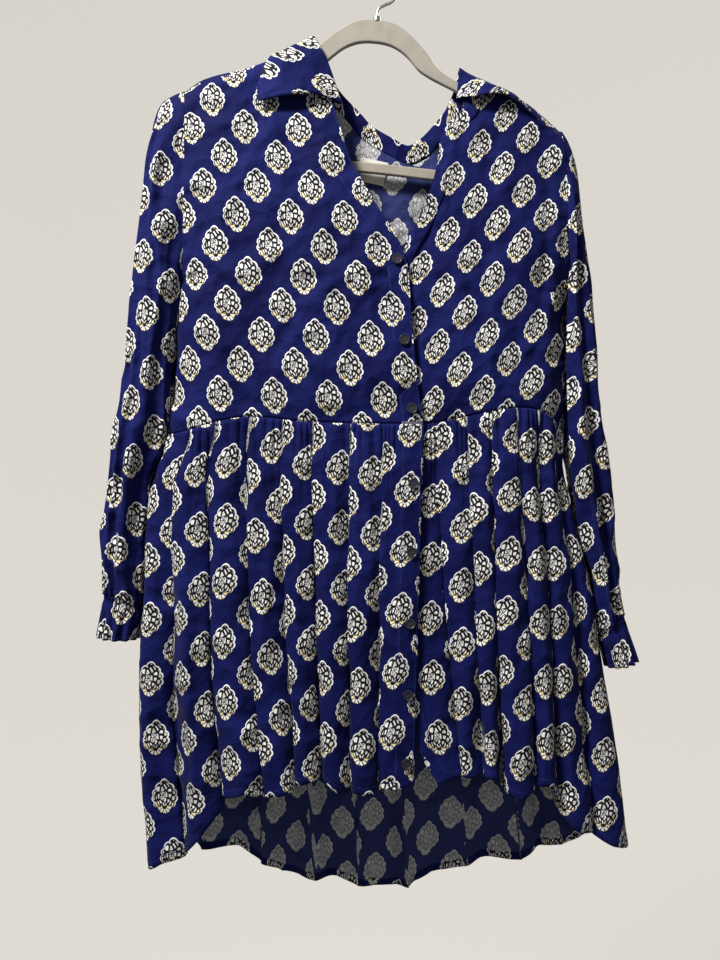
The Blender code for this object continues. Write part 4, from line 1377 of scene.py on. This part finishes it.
finishes = {
    # two colours, grains to a metre and their detail, roughness and how far it varies
    "hanger velvet": {
        "from": (0.29, 0.262, 0.215, 1), "to": (0.25, 0.226, 0.186, 1), "grains": 60.0,
        "detail": 3.0, "edge": (0.35, 0.65), "rough": 0.95,
        "pile": 2200.0, "pileTip": (0.37, 0.345, 0.295, 1), "pileShare": 0.5,
        "more": {"Sheen Weight": 0.3, "Sheen Roughness": 0.5}, "bump": (0.5, 0.0005)},
    "hook steel": {
        "from": (0.52, 0.51, 0.49, 1), "to": (0.62, 0.61, 0.59, 1), "grains": 400.0,
        "detail": 2.0, "rough": 0.2, "varies": 0.2, "more": {"Metallic": 1.0}},
    "button black": {
        "from": (0.010, 0.010, 0.014, 1), "to": (0.030, 0.029, 0.035, 1), "grains": 300.0,
        "detail": 3.0, "rough": 0.28, "varies": 0.2},
    "woven label": {
        "from": (0.56, 0.54, 0.48, 1), "to": (0.70, 0.68, 0.62, 1), "grains": 1400.0,
        "detail": 1.0, "rough": 0.75, "bump": (0.3, 0.0003)},
}


def grainyFinish(name):
    f = finishes[name]
    look, tree, shader = newFinish(name, {"Roughness": f["rough"], **f.get("more", {})})
    space = objectSpace(tree)
    grains = noiseAt(tree, space, f["grains"], f["detail"])
    share = ramp(tree, grains, *f["edge"]) if "edge" in f else grains
    colour = mixColour(tree, share, f["from"], f["to"])
    if "pile" in f:     # fine tips over the patches
        grains = noiseAt(tree, space, f["pile"], 2.0, 0.7)
        tips = calc(tree, "MULTIPLY", grains, f["pileShare"])
        colour = mixColour(tree, tips, colour, f["pileTip"])
    tree.links.new(colour, shader.inputs["Base Color"])
    if "varies" in f:
        rough = calc(tree, "MULTIPLY_ADD", grains, f["varies"], f["rough"])
        tree.links.new(rough, shader.inputs["Roughness"])
    if "bump" in f:
        addBump(tree, shader, grains, *f["bump"])
    return look


# Hanger, hook, buttons and label

hanger = {
    "lean": 5.3, "thick": 6.0, "edge": 1.6, "hump": 61.0,
    "wire": 3.4, "inside": 21.0, "turn": (195, -52), "smoothUnder": 50,
    "ferrule": {"radius": 4.2, "depth": 5.5, "drop": 60.0, "rim": 0.8},
    "neck": ((5.5, 43.5), (1.4, 47), (0, 51.5), (0, 60.7)),
    "outer": (     # right half: x, drop below the hump
        (0, 0), (12, 0.6), (24, 3.8), (34, 9.5), (44, 17), (54, 26), (62, 34.5), (70, 45),
        (80, 53), (94, 60.5), (112, 69), (150, 82), (194, 104), (201, 109), (204, 117),
        (201, 132), (192, 153), (181, 169), (168, 175.5), (0, 175.5)),
    "inner": (
        (0, 26), (16, 27.5), (27, 31.5), (36, 37), (45, 45), (53, 53), (62, 58.5),
        (94, 72), (112, 80), (150, 94), (186, 112), (191, 118), (189, 131), (182, 148),
        (174, 159), (163, 164), (0, 164)),
}


def belongs(piece, slot, *nodes):
    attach(piece, "root")
    for node in nodes:
        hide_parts(node)


# A mesh from smooth curves through points in millimetres
def fromCurve(name, splines, look, turnBy, **settings):
    curve = bpy.data.curves.new(name, "CURVE")
    for key, value in settings.items():
        setattr(curve, key, value)
    for points, closed in splines:
        spline = curve.splines.new("BEZIER")
        spline.bezier_points.add(len(points) - 1)
        for knot, point in zip(spline.bezier_points, points):
            knot.co = Vector(point) * mm
            knot.handle_left_type = knot.handle_right_type = "AUTO"
        spline.use_cyclic_u = closed
        spline.resolution_u = 6
    made = bpy.data.objects.new(name, curve)
    bpy.context.collection.objects.link(made)
    made.rotation_euler = turnBy
    selectOnly(made)
    bpy.ops.object.convert(target="MESH")
    made = bpy.context.object
    bpy.ops.object.transform_apply(location=True, rotation=True, scale=True)
    bpy.ops.object.shade_smooth_by_angle(angle=math.radians(hanger["smoothUnder"]))
    made.data.materials.clear()
    made.data.materials.append(look)
    return made


def makeHanger():
    h = hanger
    lean = math.radians(h["lean"])

    def bothHalves(rows):
        right = [(x, -h["hump"] - drop, 0) for x, drop in rows]
        return right + [(-x, z, 0) for x, z, _ in reversed(right) if x > 0]

    plate = fromCurve(
        "hanger_plate", [(bothHalves(h["outer"]), True), (bothHalves(h["inner"]), True)],
        grainyFinish("hanger velvet"), (math.pi / 2, lean, 0), dimensions="2D", fill_mode="BOTH",
        extrude=(h["thick"] / 2 - h["edge"]) * mm, bevel_depth=h["edge"] * mm,
        bevel_resolution=3, offset=-h["edge"] * mm)
    belongs(plate, "hanger_velvet", "hanger_body")
    radius = h["inside"] + h["wire"] / 2
    first, last = (math.radians(turn) for turn in h["turn"])
    wire = [
        (radius * math.cos(turn), 0, radius * math.sin(turn) - h["inside"])
        for turn in (mix(first, last, i / 14) for i in range(15))
    ] + [(x, 0, -drop) for x, drop in h["neck"]]
    steel = grainyFinish("hook steel")
    hook = fromCurve(
        "hook_wire", [(wire, False)], steel, (0, lean, 0), dimensions="3D",
        bevel_depth=h["wire"] / 2 * mm, bevel_resolution=6, use_fill_caps=True)
    belongs(hook, "hook_steel", "hanger_hook")
    deselectAll()
    size = {word: value * mm for word, value in h["ferrule"].items()}
    bpy.ops.mesh.primitive_cylinder_add(
        vertices=40, radius=size["radius"], depth=size["depth"], location=(0, 0, -size["drop"]))
    ring = bpy.context.object
    ring.name = "hook_ferrule"
    applied(ring, "rim", "BEVEL", width=size["rim"], segments=3)
    bpy.ops.object.transform_apply(location=True)
    ring.rotation_euler = (0, lean, 0)
    bpy.ops.object.transform_apply(rotation=True)
    bpy.ops.object.shade_smooth_by_angle(angle=math.radians(h["smoothUnder"]))
    ring.data.materials.append(steel)
    belongs(ring, "hook_steel")


buttonWork = {
    "radius": 5.75, "thick": 2.6, "rim": 1.1, "slope": 0.5, "dish": 0.55, "hole": 0.72,
    "apart": 1.35, "soft": 0.28, "smoothUnder": 40,
    "strand": 0.26, "strandLong": 2.9, "strandsApart": 0.28, "strandUp": 0.12,
    "threadColour": (0.03, 0.032, 0.10, 1), "threadRough": 0.7,
    "across": 0.42, "gap": 0.25,     # share of the band's width, mm above it
    "drops": (344, 434, 510, 593, 668, 745, 822, 895),
}


# A four-hole button with a raised rim and its thread, face up at the origin
def modelButton(look, threadLook):
    w = buttonWork
    deselectAll()
    bpy.ops.mesh.primitive_cylinder_add(
        vertices=48, radius=w["radius"] * mm, depth=w["thick"] * mm)
    disc = bpy.context.object
    bpy.ops.object.mode_set(mode="EDIT")
    bpy.ops.mesh.select_all(action="DESELECT")
    shape = bmesh.from_edit_mesh(disc.data)
    for face in shape.faces:
        face.select = face.normal.z > 0.9
    bmesh.update_edit_mesh(disc.data)
    bpy.ops.mesh.inset(thickness=w["rim"] * mm)
    bpy.ops.mesh.inset(thickness=w["slope"] * mm, depth=-w["dish"] * mm)
    bpy.ops.object.mode_set(mode="OBJECT")
    for x in (-w["apart"], w["apart"]):
        for y in (-w["apart"], w["apart"]):
            bpy.ops.mesh.primitive_cylinder_add(
                vertices=20, radius=w["hole"] * mm, depth=0.01, location=(x * mm, y * mm, 0))
            drill = bpy.context.object
            applied(disc, "hole", "BOOLEAN", operation="DIFFERENCE", object=drill,
                    solver="EXACT")
            bpy.data.objects.remove(drill, do_unlink=True)
    applied(disc, "soft", "BEVEL", width=w["soft"] * mm, segments=3, limit_method="ANGLE")
    disc.data.materials.clear()
    disc.data.materials.append(look)
    strands = []
    for x in (-w["apart"], w["apart"]):
        for shift in (-w["strandsApart"], w["strandsApart"]):
            up = w["thick"] / 2 - w["dish"] + w["strandUp"]
            bpy.ops.mesh.primitive_cylinder_add(
                vertices=10, radius=w["strand"] * mm, depth=w["strandLong"] * mm,
                rotation=(math.pi / 2, 0, 0), location=((x + shift) * mm, 0, up * mm))
            strand = bpy.context.object
            strand.data.materials.append(threadLook)
            strands.append(strand)
    selectOnly(disc)
    for strand in strands:
        strand.select_set(True)
    bpy.ops.object.join()
    bpy.ops.object.transform_apply(location=True, rotation=True, scale=True)
    bpy.ops.object.shade_smooth_by_angle(angle=math.radians(w["smoothUnder"]))
    return disc


def makeButtons():
    w = buttonWork
    threadLook, _, _ = newFinish(
        "button thread", {"Roughness": w["threadRough"], "Base Color": w["threadColour"]})
    model = modelButton(grainyFinish("button black"), threadLook)
    front = wholeFront(False)
    inset = bands["rightWidth"] * w["across"]
    lift = bands["lift"] + w["gap"] + w["thick"] / 2
    for number, drop in enumerate(w["drops"], 1):
        high, low = 0.4, 2.0     # halved until the button's drop is found
        for _ in range(20):
            v = (high + low) / 2
            u = insetFrom(front, v, inset)
            if -front(u, v).z < drop:
                high = v
            else:
                low = v
        out = faceOut(front, u, v)
        turn = out.to_track_quat("Z", "Y").to_matrix().to_4x4()
        turn.translation = (front(u, v) + out * lift) * mm
        piece = model
        if number < len(w["drops"]):
            piece = model.copy()
            piece.data = model.data.copy()
            bpy.context.collection.objects.link(piece)
        piece.name = f"button_{number}_four_hole"
        piece.data.transform(turn)
        belongs(piece, "button_plastic", f"button_{number}")


makeHanger()
makeButtons()
woven = grainyFinish("woven label")
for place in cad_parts["label"].material_slots:
    place.material = woven
print("hanger and buttons made")


# What each sheet stands for, and the size it was cut to

cuts = {
    # flat width and length in metres, flat area in square metres
    "bodice_front_right": (0.29, 0.44, 0.094), "bodice_front_left": (0.21, 0.40, 0.064),
    "bodice_back": (0.50, 0.45, 0.165), "skirt_front_right": (0.47, 0.42, 0.165),
    "skirt_front_left": (0.38, 0.41, 0.125), "skirt_back": (0.71, 0.55, 0.31),
    "sleeve_right": (0.34, 0.58, 0.088), "sleeve_left": (0.30, 0.56, 0.068),
    "cuff_right": (0.21, 0.05, 0.0078), "cuff_left": (0.19, 0.05, 0.0070),
    "collar": (0.55, 0.11, 0.037), "placket_right": (0.023, 0.83, 0.019),
    "placket_left": (0.017, 0.78, 0.013),
}
for node, (wide, tall, area) in cuts.items():
    piece = sheets[node + "_cloth"]
    belongs(piece, "printed_cotton", node)


# Studio: a pale bowl of floor and wall, soft lamps and the camera

studio = {
    "floor": -2.05, "radius": 3.4, "corner": 1.6, "top": 3.5,
    "flatShare": 0.3, "wallShare": 0.3, "bowlGrid": (96, 40),
    "pale": (0.95, 0.91, 0.84, 1), "plaster": (0.16, 0.155, 0.145, 1),
    "rough": 0.9, "grains": 40.0, "bump": (0.06, 0.01),
    "eye": (-0.025, -0.90, -0.589), "view": 1.104, "sensor": 36,     # view: metres high
    "lampColour": (1.0, 0.985, 0.96),
    "lamps": (     # place, aim, size, watts
        ((-0.95, -0.90, 0.95), (0.0, 0.0, -0.45), 0.4, 72),
        ((1.1, -1.9, -0.1), (0.0, 0.0, -0.6), 1.4, 2),
        ((0.8, 1.6, 0.9), (0.0, 0.0, -0.5), 1.0, 24),
    ),
    "sky": (0.95, 0.95, 0.94, 1), "skyStrength": 0.24,
    "glow": (0.60, 0.66), "glowFrom": (-2.5, 2.5),     # front to back
}


def makeStudio():
    s = studio
    deselectAll()
    columns, rows = s["bowlGrid"]
    bpy.ops.mesh.primitive_grid_add(x_subdivisions=columns, y_subdivisions=rows, size=1)
    bowl = bpy.context.object
    bowl.name = "studio_floor"
    level = s["radius"] - s["corner"]
    flat, wall = s["flatShare"], s["wallShare"]
    for vertex in bowl.data.vertices:
        turn, share = (vertex.co.x + 0.5) * 2 * math.pi, vertex.co.y + 0.5
        bend = min(1.0, max(0.0, (share - flat) / (1 - flat - wall))) * math.pi / 2
        out = level * min(1.0, share / flat) + s["corner"] * math.sin(bend)
        up = s["top"] * max(0.0, share - (1 - wall)) / wall
        rise = s["corner"] * (1 - math.cos(bend)) + up
        vertex.co = (out * math.cos(turn), out * math.sin(turn), s["floor"] + rise)
    mergeDoubles(bowl, 0.1 * mm, faceIn=True)
    bowl.data.shade_smooth()
    bowl.visible_diffuse = bowl.visible_glossy = bowl.visible_shadow = False     # sky lights it
    look, tree, shader = newFinish("pale plaster", {
        "Roughness": s["rough"], "Base Color": s["plaster"], "Emission Color": s["pale"]})
    look.cycles.emission_sampling = "NONE"
    space = objectSpace(tree)
    addBump(tree, shader, noiseAt(tree, space, s["grains"], 3.0), *s["bump"])
    side = addNode(tree, "SeparateXYZ", {0: space}).outputs[1]
    low, high = s["glow"]
    glow = calc(tree, "MULTIPLY_ADD", ramp(tree, side, *s["glowFrom"]), high - low, low)
    tree.links.new(glow, shader.inputs["Emission Strength"])
    bowl.data.materials.append(look)
    for number, (place, aim, size, watts) in enumerate(s["lamps"]):
        lamp = bpy.data.lights.new(f"lamp {number}", "AREA")
        lamp.size, lamp.energy, lamp.color = size, watts, s["lampColour"]
        holder = bpy.data.objects.new(f"lamp {number}", lamp)
        bpy.context.collection.objects.link(holder)
        holder.location = place
        holder.rotation_euler = (Vector(aim) - Vector(place)).to_track_quat("-Z", "Y").to_euler()
    scene = bpy.context.scene
    scene.world = bpy.data.worlds.new("pale room")
    scene.world.use_nodes = True
    sky = scene.world.node_tree.nodes["Background"].inputs
    sky[0].default_value, sky[1].default_value = s["sky"], s["skyStrength"]
    scene.view_settings.view_transform = "Standard"
    camera = bpy.data.cameras.new("camera")
    camera.sensor_width = s["sensor"]
    distance = -s["eye"][1]
    camera.lens = s["sensor"] / 2 / (s["view"] / 2 / distance)
    camera.clip_start = 0.05
    eye = bpy.data.objects.new("camera", camera)
    bpy.context.collection.objects.link(eye)
    eye.location = s["eye"]
    eye.rotation_euler = (math.pi / 2, 0, 0)
    scene.camera = eye


makeStudio()
print("studio made")
